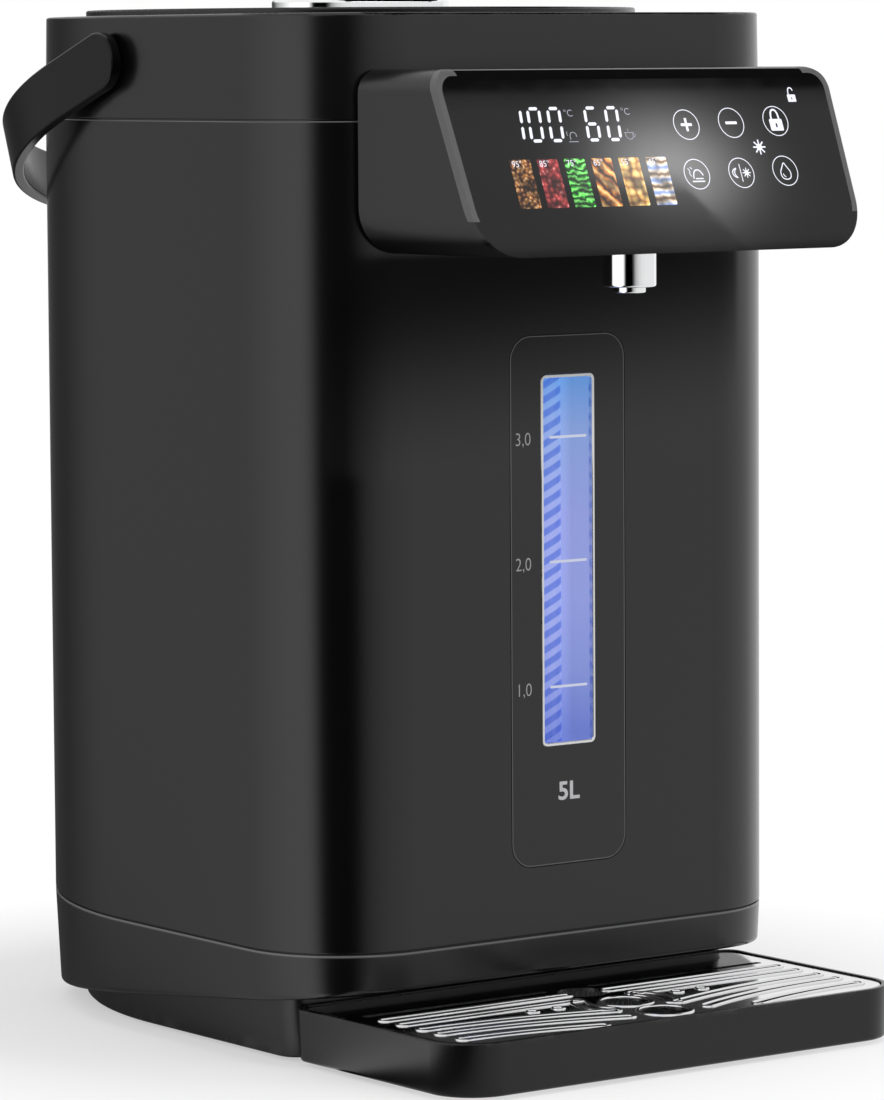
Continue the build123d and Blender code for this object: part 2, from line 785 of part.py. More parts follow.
# ---------------------------------------------------------------- lid liner, gasket and screws
# A pressed steel pan under the lid, whose bowl plugs the tank's mouth.
with BuildPart() as lid_liner:
    with BuildSketch(Plane.XY.offset(liner_z)):
        add(lid_outline(lid_r - lid_draft - lid_wall - part_gap, lid_back_y - lid_wall - part_gap))
    extrude(amount=liner_t)
    with BuildSketch(Plane.XY.offset(liner_z - plug_depth)):
        Circle(plug_r)
    extrude(amount=plug_depth)
    fillet(lid_liner.faces().sort_by(Axis.Z)[0].edges(), radius=2.5)
    with BuildSketch(Plane.XY.offset(liner_z - plug_depth + liner_t)):
        Circle(plug_r - liner_t)
    extrude(amount=plug_depth, mode=Mode.SUBTRACT)
    with BuildSketch(Plane.XY.offset(liner_z)):
        with PolarLocations(boss_ring_r, 4, start_angle=10, angular_range=-200, endpoint=True):
            Circle(screw_r + running_gap)
    extrude(amount=liner_t, mode=Mode.SUBTRACT)
save(lid_liner.part, "lid_liner")

gasket_t = liner_z - seal_top - 2 * part_gap
with BuildPart() as lid_gasket:
    with BuildSketch(Plane.XY.offset(seal_top + part_gap)):
        Circle(seal_r)
        Circle(plug_r + part_gap, mode=Mode.SUBTRACT)
    extrude(amount=gasket_t)
    fillet(lid_gasket.edges(), radius=0.8)
save(lid_gasket.part, "lid_gasket")

with BuildPart() as lid_screws:
    with BuildSketch(Plane.XY.offset(liner_z - screw_head_t)):
        with PolarLocations(boss_ring_r, 4, start_angle=10, angular_range=-200, endpoint=True):
            Circle(screw_head_r)
    extrude(amount=screw_head_t)
    with BuildSketch(Plane.XY.offset(liner_z)):
        with PolarLocations(boss_ring_r, 4, start_angle=10, angular_range=-200, endpoint=True):
            Circle(screw_r)
    extrude(amount=lid_screw_length)
save(lid_screws.part, "lid_screws")

# ---------------------------------------------------------------- steam cap
with BuildPart() as steam_cap:
    with BuildSketch(Plane.XY.offset(lid_top - steam_sink - steam_cap_height)):
        with Locations((0, steam_y)):
            Circle(steam_r)
    extrude(amount=steam_cap_height)
    fillet(steam_cap.faces().sort_by(Axis.Z)[-1].edges(), radius=0.6)
    with BuildSketch(Plane.XY.offset(lid_top - steam_ring_height)):
        with Locations((0, steam_y)):
            with GridLocations(1, 4, 1, 3):
                SlotOverall(steam_r + 1, 1.6)
    extrude(amount=steam_ring_height, mode=Mode.SUBTRACT)
save(steam_cap.part, "steam_cap")

# ---------------------------------------------------------------- lid lever, its pin and its spring
# A polished stadium plate. Lifting its rear edge swings the arm under its pivot, which draws the bolt back.
lever_z = lid_top + well_gap
lever_under = lever_z + lever_t - lever_skin

with BuildPart() as lid_lever:
    with BuildSketch(Plane.XY.offset(lever_z)):
        SlotOverall(lever_length, lever_width)
    extrude(amount=lever_t)
    fillet(lid_lever.faces().sort_by(Axis.Z)[-1].edges(), radius=lever_edge_r)
    with BuildSketch(Plane.XY.offset(lever_z)):
        SlotOverall(lever_length - 2 * lever_skin, lever_width - 2 * lever_skin)
    extrude(amount=lever_t - lever_skin, mode=Mode.SUBTRACT)
with BuildPart() as lever_lugs:
    with BuildSketch(side_plane(0)):
        with Locations((lever_pivot_y, lever_pivot_z)):
            Circle(lever_pin_r + lug_wall)
        with Locations((lever_pivot_y, (lever_pivot_z + lever_under) / 2)):
            Rectangle(2 * (lever_pin_r + lug_wall), lever_under - lever_pivot_z)
    extrude(amount=lever_lug_x + lever_lug_width, both=True)
    with BuildSketch(Plane.XY.offset(lever_pivot_z - lever_arm_reach)):
        with Locations((0, lever_pivot_y)):
            Rectangle(2 * lever_lug_x, body_width)
    extrude(amount=body_width, mode=Mode.SUBTRACT)
    with BuildSketch(side_plane(0)):
        with Locations((lever_pivot_y, lever_pivot_z)):
            Circle(lever_pin_r + lug_wall)
        with Locations((lever_pivot_y, (lever_under - lever_arm_reach + lever_pivot_z) / 2)):
            Rectangle(lever_arm_t, lever_under - lever_pivot_z + lever_arm_reach)
    extrude(amount=lever_arm_width / 2, both=True)
with lid_lever:
    add(lever_lugs.part)
    with BuildSketch(side_plane(0)):
        with Locations((lever_pivot_y, lever_pivot_z)):
            Circle(lever_pin_r + running_gap)
    extrude(amount=lever_length, both=True, mode=Mode.SUBTRACT)
save(lid_lever.part, "lid_lever")

with BuildPart() as lever_pin:
    with BuildSketch(side_plane(0)):
        with Locations((lever_pivot_y, lever_pivot_z)):
            Circle(lever_pin_r)
    extrude(amount=ear_x + ear_width, both=True)
save(lever_pin.part, "lever_pin")

spring_wire = 0.7
spring_turns = 5
spring_pitch = 1.1
with BuildPart() as lever_spring:
    with BuildLine():
        coil = Helix(
            pitch=spring_pitch,
            height=spring_turns * spring_pitch,
            radius=lever_pin_r + 0.8,
            center=(3.2, lever_pivot_y, lever_pivot_z),
            direction=(1, 0, 0),
        )
    with BuildSketch(Plane(origin=coil @ 0, z_dir=coil % 0)):
        Circle(spring_wire / 2)
    sweep(path=coil)
save(lever_spring.part, "lever_spring")

# ---------------------------------------------------------------- latch bolt
bolt_rear_y = lever_pivot_y + 6.0
bolt_eye = 5.0  # the arm stands in this square hole

with BuildPart() as latch_bolt:
    with BuildSketch(Plane.XY.offset(bolt_z)):
        with Locations((0, (bolt_rear_y - lid_r - bolt_reach) / 2)):
            Rectangle(bolt_width, bolt_rear_y + lid_r + bolt_reach)
        with Locations((0, lever_pivot_y + 0.2)):
            Rectangle(bolt_eye, bolt_eye, mode=Mode.SUBTRACT)
    extrude(amount=bolt_t)
    nose = latch_bolt.edges().filter_by(Axis.X).sort_by(Axis.Y)[:2].sort_by(Axis.Z)[0]
    chamfer(nose, length=2)
save(latch_bolt.part, "latch_bolt")

# ---------------------------------------------------------------- carrying handle and its pivots
# A U-shaped strap: straight arms, then half an ellipse round the back.
with BuildPart() as carry_handle:
    with BuildSketch(HANDLE):
        for grow, use in ((0, Mode.ADD), (-strap_t, Mode.SUBTRACT)):
            with BuildLine():
                reach = handle_half_width + grow
                Line((reach, -strap_width), (reach, handle_straight))
                EllipticalCenterArc((0, handle_straight), reach, handle_bow + grow, arc_size=180)
                Line((-reach, handle_straight), (-reach, -strap_width))
                Line((-reach, -strap_width), (reach, -strap_width))
            make_face(mode=use)
    extrude(amount=strap_width / 2, both=True)
    # round ends about the pivots
    with BuildSketch(Plane(origin=HANDLE.origin, x_dir=HANDLE.y_dir, z_dir=(1, 0, 0))):
        with Locations((handle_bow, 0)):
            SlotOverall(2 * handle_bow + strap_width, strap_width)
    extrude(amount=handle_half_width + over, both=True, mode=Mode.INTERSECT)
    fillet(carry_handle.edges().filter_by(GeomType.LINE).filter_by(Axis.X, reverse=True), radius=0.8)
with BuildPart() as pivot_bores:
    for side in (-1, 1):
        with BuildSketch(side_plane(0)):
            with Locations((handle_pivot_y, pivot_z)):
                Circle(pivot_r + running_gap)
        extrude(amount=side * (handle_half_width - pivot_skin))
with carry_handle:
    add(pivot_bores.part, mode=Mode.SUBTRACT)
save(carry_handle.part, "carry_handle")

with BuildPart() as handle_pivots:
    for side in (-1, 1):
        with BuildSketch(side_plane(side * (boss_inner_x + seam_gap))):
            with Locations((handle_pivot_y, pivot_z)):
                Circle(pivot_r)
        extrude(amount=side * (handle_half_width - pivot_skin - boss_inner_x - seam_gap - seat_gap))
save(handle_pivots.part, "handle_pivots")

# ---------------------------------------------------------------- dispenser head
# A wedge on the upper front: tapered in plan, its side edges rounded, its face sloped under the glass.


def head_prism(inset=0.0):
    """The head's tapered block, with a rounded section at each end, before its face is sloped."""
    with BuildPart() as prism:
        for reach, half in ((0, head_half_back), (head_reach_bottom, head_half_front)):
            with BuildSketch(front_plane(front_y - reach)) as section:
                with Locations((0, (head_top + head_bottom) / 2)):
                    Rectangle(2 * (half - inset), head_height - 2 * inset)
                fillet(section.vertices().group_by(Axis.Y)[0], radius=head_bottom_r - inset)
                fillet(section.vertices().group_by(Axis.Y)[-1], radius=head_top_r - inset)
        loft()
    return prism.part


def head_block(inset=0.0):
    """The head, shrunk by an inset on every side but the back, with its face sloped and its brow rolled."""
    top = head_top - inset
    bottom = head_bottom + inset
    setback = front_y - head_reach_top + inset / cos(head_slope)
    with BuildPart() as block:
        add(head_prism(inset))
        with BuildSketch(side_plane(0)) as view:
            with BuildLine():
                Polyline(
                    (front_y, bottom),
                    (front_y, top),
                    (setback - (head_top - top) * tan(head_slope), top),
                    (setback - (head_top - bottom) * tan(head_slope), bottom),
                    close=True,
                )
            make_face()
            fillet(view.vertices().group_by(Axis.Y)[-1].sort_by(Axis.X)[0], radius=glass_roll_r - inset)
        extrude(amount=body_width, both=True, mode=Mode.INTERSECT)
    return block.part


with BuildPart() as head_bezel:
    add(head_block())
    split(bisect_by=GLASS.offset(-glass_t), keep=Keep.TOP)
    add(head_prism(bezel_width), mode=Mode.SUBTRACT)
    with BuildSketch(front_plane(front_y)):
        with Locations((0, head_bottom)):
            Rectangle(2 * head_half_back, 2 * bezel_end_rise)
        with Locations((0, head_top)):
            Rectangle(2 * (head_half_front - head_top_r), head_height)
    extrude(amount=2 * head_reach_bottom, mode=Mode.SUBTRACT)
save(head_bezel.part, "head_bezel")

with BuildPart() as touch_glass:
    add(head_block())
    split(bisect_by=GLASS.offset(-glass_t), keep=Keep.TOP)
    add(head_bezel.part, mode=Mode.SUBTRACT)
save(touch_glass.part, "touch_glass")

with BuildPart() as head_housing:
    add(head_block())
    split(bisect_by=GLASS.offset(-glass_t), keep=Keep.BOTTOM)
    add(head_block(head_wall + glass_t), mode=Mode.SUBTRACT)
with BuildPart() as head_hollow:
    add(head_prism(head_wall))
    split(bisect_by=GLASS.offset(-glass_t - head_wall), keep=Keep.BOTTOM)
with head_housing:
    add(head_hollow.part, mode=Mode.SUBTRACT)
    with BuildSketch(GLASS.offset(-glass_t - head_wall - over)):
        with Locations((0, -screen_drop - screen_height / 2)):
            Rectangle(screen_width + 2 * seat_gap, screen_height + 2 * seat_gap)
    extrude(amount=head_wall + 2 * over, mode=Mode.SUBTRACT)
    with BuildSketch(Plane.XY.offset(head_bottom - over)):
        with Locations((0, spout_y)):
            Circle(spout_r + seat_gap)
    extrude(amount=head_wall + 2 * over, mode=Mode.SUBTRACT)
save(head_housing.part, "head_housing")

with BuildPart() as display_screen:
    with BuildSketch(GLASS.offset(-glass_t - seat_gap - screen_t)):
        with Locations((0, -screen_drop - screen_height / 2)):
            Rectangle(screen_width, screen_height)
    extrude(amount=screen_t)
save(display_screen.part, "display_screen")

with BuildPart() as display_board:
    with BuildSketch(GLASS.offset(-glass_t - head_wall - seat_gap - board_t)):
        with Locations((0, -screen_drop - screen_height / 2)):
            Rectangle(screen_width - 2 * board_margin, screen_height - 2 * board_margin)
    extrude(amount=board_t)
save(display_board.part, "display_board")

# ---------------------------------------------------------------- spout sleeve and nozzle
sleeve_bottom = head_bottom - spout_drop
nozzle_bottom = sleeve_bottom - nozzle_drop
nozzle_top = head_bottom + nozzle_inside

with BuildPart() as spout_sleeve:
    with BuildSketch(Plane.XY.offset(sleeve_bottom)):
        with Locations((0, spout_y)):
            Circle(spout_r)
    extrude(amount=spout_drop + head_wall + spout_flange_t)
    with BuildSketch(Plane.XY.offset(head_bottom + head_wall)):
        with Locations((0, spout_y)):
            Circle(spout_flange_r)
    extrude(amount=spout_flange_t)
    fillet(spout_sleeve.faces().sort_by(Axis.Z)[0].edges(), radius=0.8)
    with BuildSketch(Plane.XY.offset(sleeve_bottom)):
        with Locations((0, spout_y)):
            Circle(nozzle_r + seat_gap)
    extrude(amount=spout_drop + 2 * head_wall, mode=Mode.SUBTRACT)
save(spout_sleeve.part, "spout_sleeve")

with BuildPart() as spout_nozzle:
    with BuildSketch(Plane.XY.offset(nozzle_bottom)):
        with Locations((0, spout_y)):
            Circle(nozzle_r)
    extrude(amount=nozzle_top - nozzle_bottom)
    fillet(spout_nozzle.faces().sort_by(Axis.Z)[0].edges(), radius=0.5)
    with BuildSketch(Plane.XY.offset(nozzle_bottom)):
        with Locations((0, spout_y)):
            Circle(nozzle_bore_r)
    extrude(amount=nozzle_top - nozzle_bottom, mode=Mode.SUBTRACT)
save(spout_nozzle.part, "spout_nozzle")

# ---------------------------------------------------------------- water gauge
# A plate in the jacket, with a framed lens over a lit box that holds the sight tube and its scale.
opening_width = window_width + 2 * seat_gap
opening_height = window_height + 2 * seat_gap
lens_width = window_width - 2 * frame_width - 2 * seat_gap
lens_height = window_height - 2 * frame_width - 2 * seat_gap
window_mid = window_bottom + window_height / 2
plate_back = front_y + plate_t
box_z = window_bottom - box_margin
box_height = window_height + 2 * box_margin
card_y = gauge_y + tube_r + card_gap
backlight_y = card_y + card_t + led_gap
box_back = backlight_y + board_t + box_wall

with BuildPart() as window_plate:
    with BuildSketch(front_plane(front_y)):
        add(round_plate(plate_width, plate_height, plate_corner_r, plate_bottom))
        add(round_plate(opening_width, opening_height, window_corner_r, window_bottom - seat_gap),
            mode=Mode.SUBTRACT)
    extrude(amount=-plate_t)
    chamfer(window_plate.faces().sort_by(Axis.Y)[0].outer_wire().edges(), length=0.3)
save(window_plate.part, "window_plate")

with BuildPart() as window_frame:
    with BuildSketch(front_plane(front_y - frame_rise)):
        add(round_plate(window_width, window_height, window_corner_r, window_bottom))
        add(round_plate(window_width - 2 * frame_width, window_height - 2 * frame_width,
                        window_corner_r - frame_width, window_bottom + frame_width), mode=Mode.SUBTRACT)
    extrude(amount=-(plate_t + frame_rise))
    chamfer(window_frame.faces().sort_by(Axis.Y)[0].edges(), length=0.2)
save(window_frame.part, "window_frame")

with BuildPart() as window_lens:
    with BuildSketch(front_plane(front_y + lens_drop)):
        with Locations((0, window_mid)):
            RectangleRounded(lens_width, lens_height, window_corner_r - frame_width)
    extrude(amount=-(plate_t - lens_drop))
save(window_lens.part, "window_lens")

with BuildPart() as light_box:
    with BuildSketch(front_plane(plate_back)):
        add(round_plate(plate_width + 2 * flange_margin, plate_height + 2 * flange_margin,
                        plate_corner_r, plate_bottom - flange_margin))
    extrude(amount=-box_wall)
    with BuildSketch(front_plane(plate_back)):
        with Locations((0, box_z + box_height / 2)):
            Rectangle(2 * box_half_width, box_height)
    extrude(amount=plate_back - box_back)
    with BuildSketch(front_plane(plate_back)):
        with Locations((0, box_z + box_height / 2)):
            Rectangle(2 * (box_half_width - box_wall), box_height - 2 * box_wall)
    extrude(amount=plate_back - box_back + box_wall, mode=Mode.SUBTRACT)
    with BuildSketch(Plane.XY.offset(box_z)):
        with Locations((0, gauge_y)):
            Circle(tube_r + seat_gap)
    extrude(amount=box_height, mode=Mode.SUBTRACT)
save(light_box.part, "light_box")

with BuildPart() as scale_card:
    with BuildSketch(front_plane(card_y)):
        with Locations((0, window_mid)):
            Rectangle(2 * (box_half_width - box_wall - seat_gap), box_height - 2 * box_wall - 1)
    extrude(amount=-card_t)
save(scale_card.part, "scale_card")

with BuildPart() as backlight_board:
    with BuildSketch(front_plane(backlight_y)):
        with Locations((0, window_mid)):
            Rectangle(2 * (box_half_width - box_wall - seat_gap), box_height - 2 * box_wall - 1)
    extrude(amount=-board_t)
    with BuildSketch(front_plane(backlight_y)):
        with Locations((0, window_mid)):
            with GridLocations(led_pitch_x, led_pitch_z, 2, led_rows):
                Rectangle(led_size, led_size)
    extrude(amount=led_height)
save(backlight_board.part, "backlight_board")

with BuildPart() as sight_tube:
    with BuildSketch(Plane.XY.offset(tube_bottom)):
        with Locations((0, gauge_y)):
            Circle(tube_r)
            Circle(tube_r - tube_wall, mode=Mode.SUBTRACT)
    extrude(amount=tube_length)
save(sight_tube.part, "sight_tube")

with BuildPart() as tube_cap:
    with BuildSketch(Plane.XY.offset(tube_bottom + tube_length - cap_length + 2)):
        with Locations((0, gauge_y)):
            Circle(tube_r + part_gap + hose_wall)
    extrude(amount=cap_length)
    with BuildSketch(Plane.XY.offset(tube_bottom + tube_length - cap_length + 2)):
        with Locations((0, gauge_y)):
            Circle(tube_r + seat_gap)
    extrude(amount=cap_length - 2 + seat_gap, mode=Mode.SUBTRACT)
save(tube_cap.part, "tube_cap")

# ---------------------------------------------------------------- inner tank
# A deep-drawn steel can with a shoulder and a narrower mouth, and two stubs in its floor.


def tank_profile(grow, mouth_top):
    """Half of the can's section, grown outward."""
    radius = tank_r + grow
    with BuildSketch(Plane.XZ) as half:
        with BuildLine():
            wall = FilletPolyline(
                (0, tank_bottom - grow),
                (radius, tank_bottom - grow),
                (radius, shoulder_z),
                (mouth_r + grow, neck_z),
                (mouth_r + grow, mouth_top),
                radius=tank_floor_r,
            )
            Line(wall @ 1, (0, mouth_top))
            Line((0, mouth_top), wall @ 0)
        make_face()
    return half.sketch


stub_places = [(pump_x, pump_y), (0, gauge_stub_y)]
with BuildPart() as inner_tank:
    with BuildSketch(Plane.XZ):
        add(tank_profile(tank_wall, mouth_z))
    revolve(axis=Axis.Z)
    with BuildSketch(Plane.XY.offset(stub_end)):
        with Locations(*stub_places):
            Circle(tube_r)
    extrude(amount=stub_length)
with BuildPart() as tank_hollow:
    with BuildSketch(Plane.XZ):
        add(tank_profile(0, mouth_z + over))
    revolve(axis=Axis.Z)
    with BuildSketch(Plane.XY.offset(stub_end)):
        with Locations(*stub_places):
            Circle(tube_r - tank_wall)
    extrude(amount=stub_length + 2 * tank_wall)
with inner_tank:
    add(tank_hollow.part, mode=Mode.SUBTRACT)
save(inner_tank.part, "inner_tank")

with BuildPart() as mouth_seal:
    with BuildSketch(Plane.XY.offset(neck_z + seal_foot)):
        Circle(seal_r - part_gap)
        Circle(mouth_r + tank_wall + part_gap, mode=Mode.SUBTRACT)
    extrude(amount=seal_top - neck_z - seal_foot)
    with BuildSketch(Plane.XY.offset(well_z + part_gap)):
        Circle(seal_r + seal_foot)
        Circle(mouth_r + tank_wall + part_gap, mode=Mode.SUBTRACT)
    extrude(amount=seal_flange_t)
    with BuildSketch(Plane.XY.offset(mouth_z + part_gap)):
        Circle(seal_r - part_gap)
        Circle(mouth_r, mode=Mode.SUBTRACT)
    extrude(amount=seal_top - mouth_z - part_gap)
save(mouth_seal.part, "mouth_seal")

with BuildPart() as insulation_wrap:
    with BuildSketch(Plane.XY.offset(tank_bottom + wrap_foot)):
        Circle(tank_r + tank_wall + wrap_gap + wrap_t)
        Circle(tank_r + tank_wall + wrap_gap, mode=Mode.SUBTRACT)
    extrude(amount=wrap_height)
save(insulation_wrap.part, "insulation_wrap")

with BuildPart() as band_heater:
    with BuildSketch(Plane.XY.offset(band_bottom)):
        Circle(tank_r + tank_wall + seat_gap + band_t)
        Circle(tank_r + tank_wall + seat_gap, mode=Mode.SUBTRACT)
    extrude(amount=band_height)
save(band_heater.part, "band_heater")

with BuildPart() as heater_plate:
    with BuildSketch(Plane.XY.offset(tank_under - heater_t)):
        with Locations((0, heater_y)):
            Circle(heater_r)
    extrude(amount=heater_t)
    fillet(heater_plate.faces().sort_by(Axis.Z)[0].edges(), radius=1.5)
save(heater_plate.part, "heater_plate")

with BuildPart() as water_thermostat:
    with BuildSketch(Plane.XY.offset(tank_under - sensor_height)):
        with Locations((sensor_x, sensor_y)):
            Circle(sensor_r)
    extrude(amount=sensor_height)
    chamfer(water_thermostat.faces().sort_by(Axis.Z)[0].edges(), length=1)
save(water_thermostat.part, "water_thermostat")

with BuildPart() as thermal_fuse:
    with BuildSketch(Plane.XY.offset(tank_under - fuse_height)):
        with Locations((fuse_x, fuse_y)):
            Circle(fuse_r)
    extrude(amount=fuse_height)
    chamfer(thermal_fuse.faces().sort_by(Axis.Z)[0].edges(), length=1)
save(thermal_fuse.part, "thermal_fuse")

# ---------------------------------------------------------------- pump and motor
# A magnet on the motor's shaft turns the impeller through the floor of a sealed chamber.
with BuildPart() as pump_motor:
    with BuildSketch(Plane.XY.offset(motor_z)):
        with Locations((pump_x, pump_y)):
            Circle(motor_r)
    extrude(amount=motor_height)
    chamfer(pump_motor.edges(), length=1)
    with BuildSketch(Plane.XY.offset(motor_z + shaft_start)):
        with Locations((pump_x, pump_y)):
            Circle(shaft_r + running_gap)
    extrude(amount=motor_height, mode=Mode.SUBTRACT)
save(pump_motor.part, "pump_motor")

with BuildPart() as motor_shaft:
    with BuildSketch(Plane.XY.offset(motor_z + shaft_start + seam_gap)):
        with Locations((pump_x, pump_y)):
            Circle(shaft_r)
    extrude(amount=magnet_z + magnet_t - motor_z - shaft_start - seam_gap)
save(motor_shaft.part, "motor_shaft")

with BuildPart() as drive_magnet:
    with BuildSketch(Plane.XY.offset(magnet_z)):
        with Locations((pump_x, pump_y)):
            Circle(magnet_r)
            Circle(shaft_r, mode=Mode.SUBTRACT)
    extrude(amount=magnet_t)
save(drive_magnet.part, "drive_magnet")

with BuildPart() as motor_bracket:
    with BuildSketch(Plane.XY.offset(bracket_z)):
        with Locations((pump_x, pump_y)):
            Circle(pump_r)
            Circle(shaft_r + 2, mode=Mode.SUBTRACT)
    extrude(amount=bracket_t)
save(motor_bracket.part, "motor_bracket")

with BuildPart() as pump_housing:
    with BuildSketch(Plane.XY.offset(cup_z)):
        with Locations((pump_x, pump_y)):
            Circle(pump_r)
    extrude(amount=cover_z - cup_z)
    with BuildSketch(front_plane(outlet_end)):
        with Locations((pump_x, outlet_z)):
            Circle(nozzle_r)
    extrude(amount=-(outlet_reach + pump_wall))
    with BuildSketch(Plane.XY.offset(cup_z)):
        with Locations((pump_x, pump_y)):
            Circle(magnet_r + magnet_gap)
    extrude(amount=cup_height, mode=Mode.SUBTRACT)
    with BuildSketch(Plane.XY.offset(chamber_z)):
        with Locations((pump_x, pump_y)):
            Circle(chamber_r)
            Circle(shaft_r, mode=Mode.SUBTRACT)
    extrude(amount=chamber_height, mode=Mode.SUBTRACT)
    with BuildSketch(front_plane(outlet_end)):
        with Locations((pump_x, outlet_z)):
            Circle(nozzle_bore_r)
    extrude(amount=-(outlet_reach + pump_r - chamber_r + 1), mode=Mode.SUBTRACT)
save(pump_housing.part, "pump_housing")

with BuildPart() as pump_cover:
    with BuildSketch(Plane.XY.offset(cover_z)):
        with Locations((pump_x, pump_y)):
            Circle(pump_r)
    extrude(amount=pump_wall)
    with BuildSketch(Plane.XY.offset(cover_z)):
        with Locations((pump_x, pump_y)):
            Circle(tube_r)
    extrude(amount=stub_end - stub_gap - cover_z)
    with BuildSketch(Plane.XY.offset(cover_z)):
        with Locations((pump_x, pump_y)):
            Circle(tube_r - tube_wall)
    extrude(amount=stub_end - cover_z, mode=Mode.SUBTRACT)
save(pump_cover.part, "pump_cover")

with BuildPart() as pump_impeller:
    with BuildSketch(Plane.XY.offset(chamber_z + vane_lift)):
        with Locations((pump_x, pump_y)):
            Circle(impeller_r)
    extrude(amount=vane_disc_t)
    with BuildSketch(Plane.XY.offset(chamber_z + vane_lift + vane_disc_t)):
        with Locations((pump_x, pump_y)):
            Circle(shaft_r + 2)
            with PolarLocations(impeller_r * 0.6, vane_count):
                Rectangle(impeller_r * 0.7, vane_t)
    extrude(amount=chamber_height - 2 * vane_disc_t)
    with BuildSketch(Plane.XY.offset(chamber_z)):
        with Locations((pump_x, pump_y)):
            Circle(shaft_r + running_gap)
    extrude(amount=chamber_height, mode=Mode.SUBTRACT)
save(pump_impeller.part, "pump_impeller")

# ---------------------------------------------------------------- hoses
tank_hose_top = tank_under - 4.0
riser_setback = 3.0
riser_rise = 25.0
gauge_run_z = tank_under - gauge_sag
riser_x = pump_x
riser_y = gauge_y + riser_setback
riser_z = head_bottom + riser_rise

with BuildPart() as tank_outlet_hose:
    with BuildSketch(Plane.XY.offset(cover_z + pump_wall + part_gap)):
        with Locations((pump_x, pump_y)):
            Circle(gauge_hose_r)
            Circle(gauge_bore_r, mode=Mode.SUBTRACT)
    extrude(amount=tank_hose_top - cover_z - pump_wall - part_gap)
save(tank_outlet_hose.part, "tank_outlet_hose")

gauge_hose = hose(
    [
        (0, gauge_stub_y, tank_hose_top),
        (0, gauge_stub_y, gauge_run_z),
        (0, gauge_y, gauge_run_z),
        (0, gauge_y, box_z - part_gap),
    ],
    gauge_bend_r,
    gauge_hose_r,
    gauge_bore_r,
)
save(gauge_hose, "gauge_hose")

riser_hose = hose(
    [
        (pump_x, outlet_end + outlet_reach - 2, outlet_z),
        (riser_x, riser_y, outlet_z),
        (riser_x, riser_y, riser_z),
        (0, spout_y, riser_z),
        (0, spout_y, nozzle_top - hose_grip),
    ],
    riser_bend_r,
    hose_r,
    hose_bore_r,
)
save(riser_hose, "riser_hose")

# ---------------------------------------------------------------- power board
with BuildPart() as power_board:
    with BuildSketch(Plane.XY.offset(pcb_z)):
        with Locations((0, pcb_y)):
            Rectangle(pcb_width, pcb_depth)
    extrude(amount=board_t)
save(power_board.part, "power_board")

# transformer, two relays and a heat sink: place across and along, width, depth, height
part_blocks = [
    (-22, 8, 30, 26, 22),
    (12, 14, 19, 15, 15),
    (12, -6, 19, 15, 15),
    (32, 2, 6, 30, 24),
]
capacitor_x = (-30, -16)
capacitor_y = -16
capacitor_r = 5.0
capacitor_height = 16.0

with BuildPart() as board_parts:
    for across, along, width, depth, height in part_blocks:
        with BuildSketch(Plane.XY.offset(pcb_z + board_t)):
            with Locations((across, pcb_y + along)):
                RectangleRounded(width, depth, 1)
        extrude(amount=height)
    with BuildSketch(Plane.XY.offset(pcb_z + board_t)):
        with Locations(*[(across, pcb_y + capacitor_y) for across in capacitor_x]):
            Circle(capacitor_r)
    extrude(amount=capacitor_height)
save(board_parts.part, "board_parts")

# ---------------------------------------------------------------- drip tray, liner and grille
# The tray plugs into the skirt with two tabs. A steel liner hangs on its ledge and carries the grille.
ledge_t = 2.0
tray_floor_t = 2.0
tray_rear_corner_r = 6.0
tray_draft = 0.6
tray_edge_r = 1.2
tray_rim_r = 0.6
liner_gap = 0.3
basin_floor_z = floor_gap + tray_floor_t + basin_t
tray_back = front_y + tray_under
tray_depth = tray_back - front_y + tray_reach


def tray_outline(inset=0.0):
    """Plan of the tray: a rectangle whose front corners are rounded wide."""
    with BuildSketch() as outline:
        with Locations((0, tray_back - tray_depth / 2)):
            Rectangle(2 * (tray_half_width - inset), tray_depth - 2 * inset)
        fillet(outline.vertices().group_by(Axis.Y)[0], radius=tray_corner_r - inset)
        fillet(outline.vertices().group_by(Axis.Y)[-1], radius=tray_rear_corner_r - inset / 2)
    return outline.sketch


with BuildPart() as drip_tray:
    with BuildSketch(Plane.XY.offset(floor_gap)):
        add(tray_outline(tray_draft))
    with BuildSketch(Plane.XY.offset(tray_top)):
        add(tray_outline())
    loft()
    fillet(drip_tray.faces().sort_by(Axis.Z)[0].edges(), radius=tray_edge_r)
    fillet(drip_tray.faces().sort_by(Axis.Z)[-1].edges(), radius=tray_rim_r)
    with BuildSketch(Plane.XY.offset(floor_gap + tray_floor_t)):
        add(tray_outline(tray_rim + ledge_t))
    extrude(amount=tray_height, mode=Mode.SUBTRACT)
    with BuildSketch(Plane.XY.offset(grille_z - basin_t)):
        add(tray_outline(tray_rim))
    extrude(amount=tray_height, mode=Mode.SUBTRACT)
    with BuildSketch(front_plane(tray_back - over)):
        with Locations((-tab_x, tab_z + tab_t / 2), (tab_x, tab_z + tab_t / 2)):
            Rectangle(tab_width, tab_t)
    extrude(amount=-tab_reach - over)
save(drip_tray.part, "drip_tray")

with BuildPart() as drip_basin:
    with BuildSketch(Plane.XY.offset(grille_z - basin_t)):
        add(tray_outline(tray_rim + liner_gap))
    extrude(amount=basin_t)
    with BuildSketch(Plane.XY.offset(basin_floor_z)):
        add(tray_outline(tray_rim + ledge_t + liner_gap))
    extrude(amount=grille_z - basin_floor_z)
    with BuildSketch(Plane.XY.offset(basin_floor_z + basin_t)):
        add(tray_outline(tray_rim + ledge_t + liner_gap + basin_t))
    extrude(amount=tray_height, mode=Mode.SUBTRACT)
save(drip_basin.part, "drip_basin")

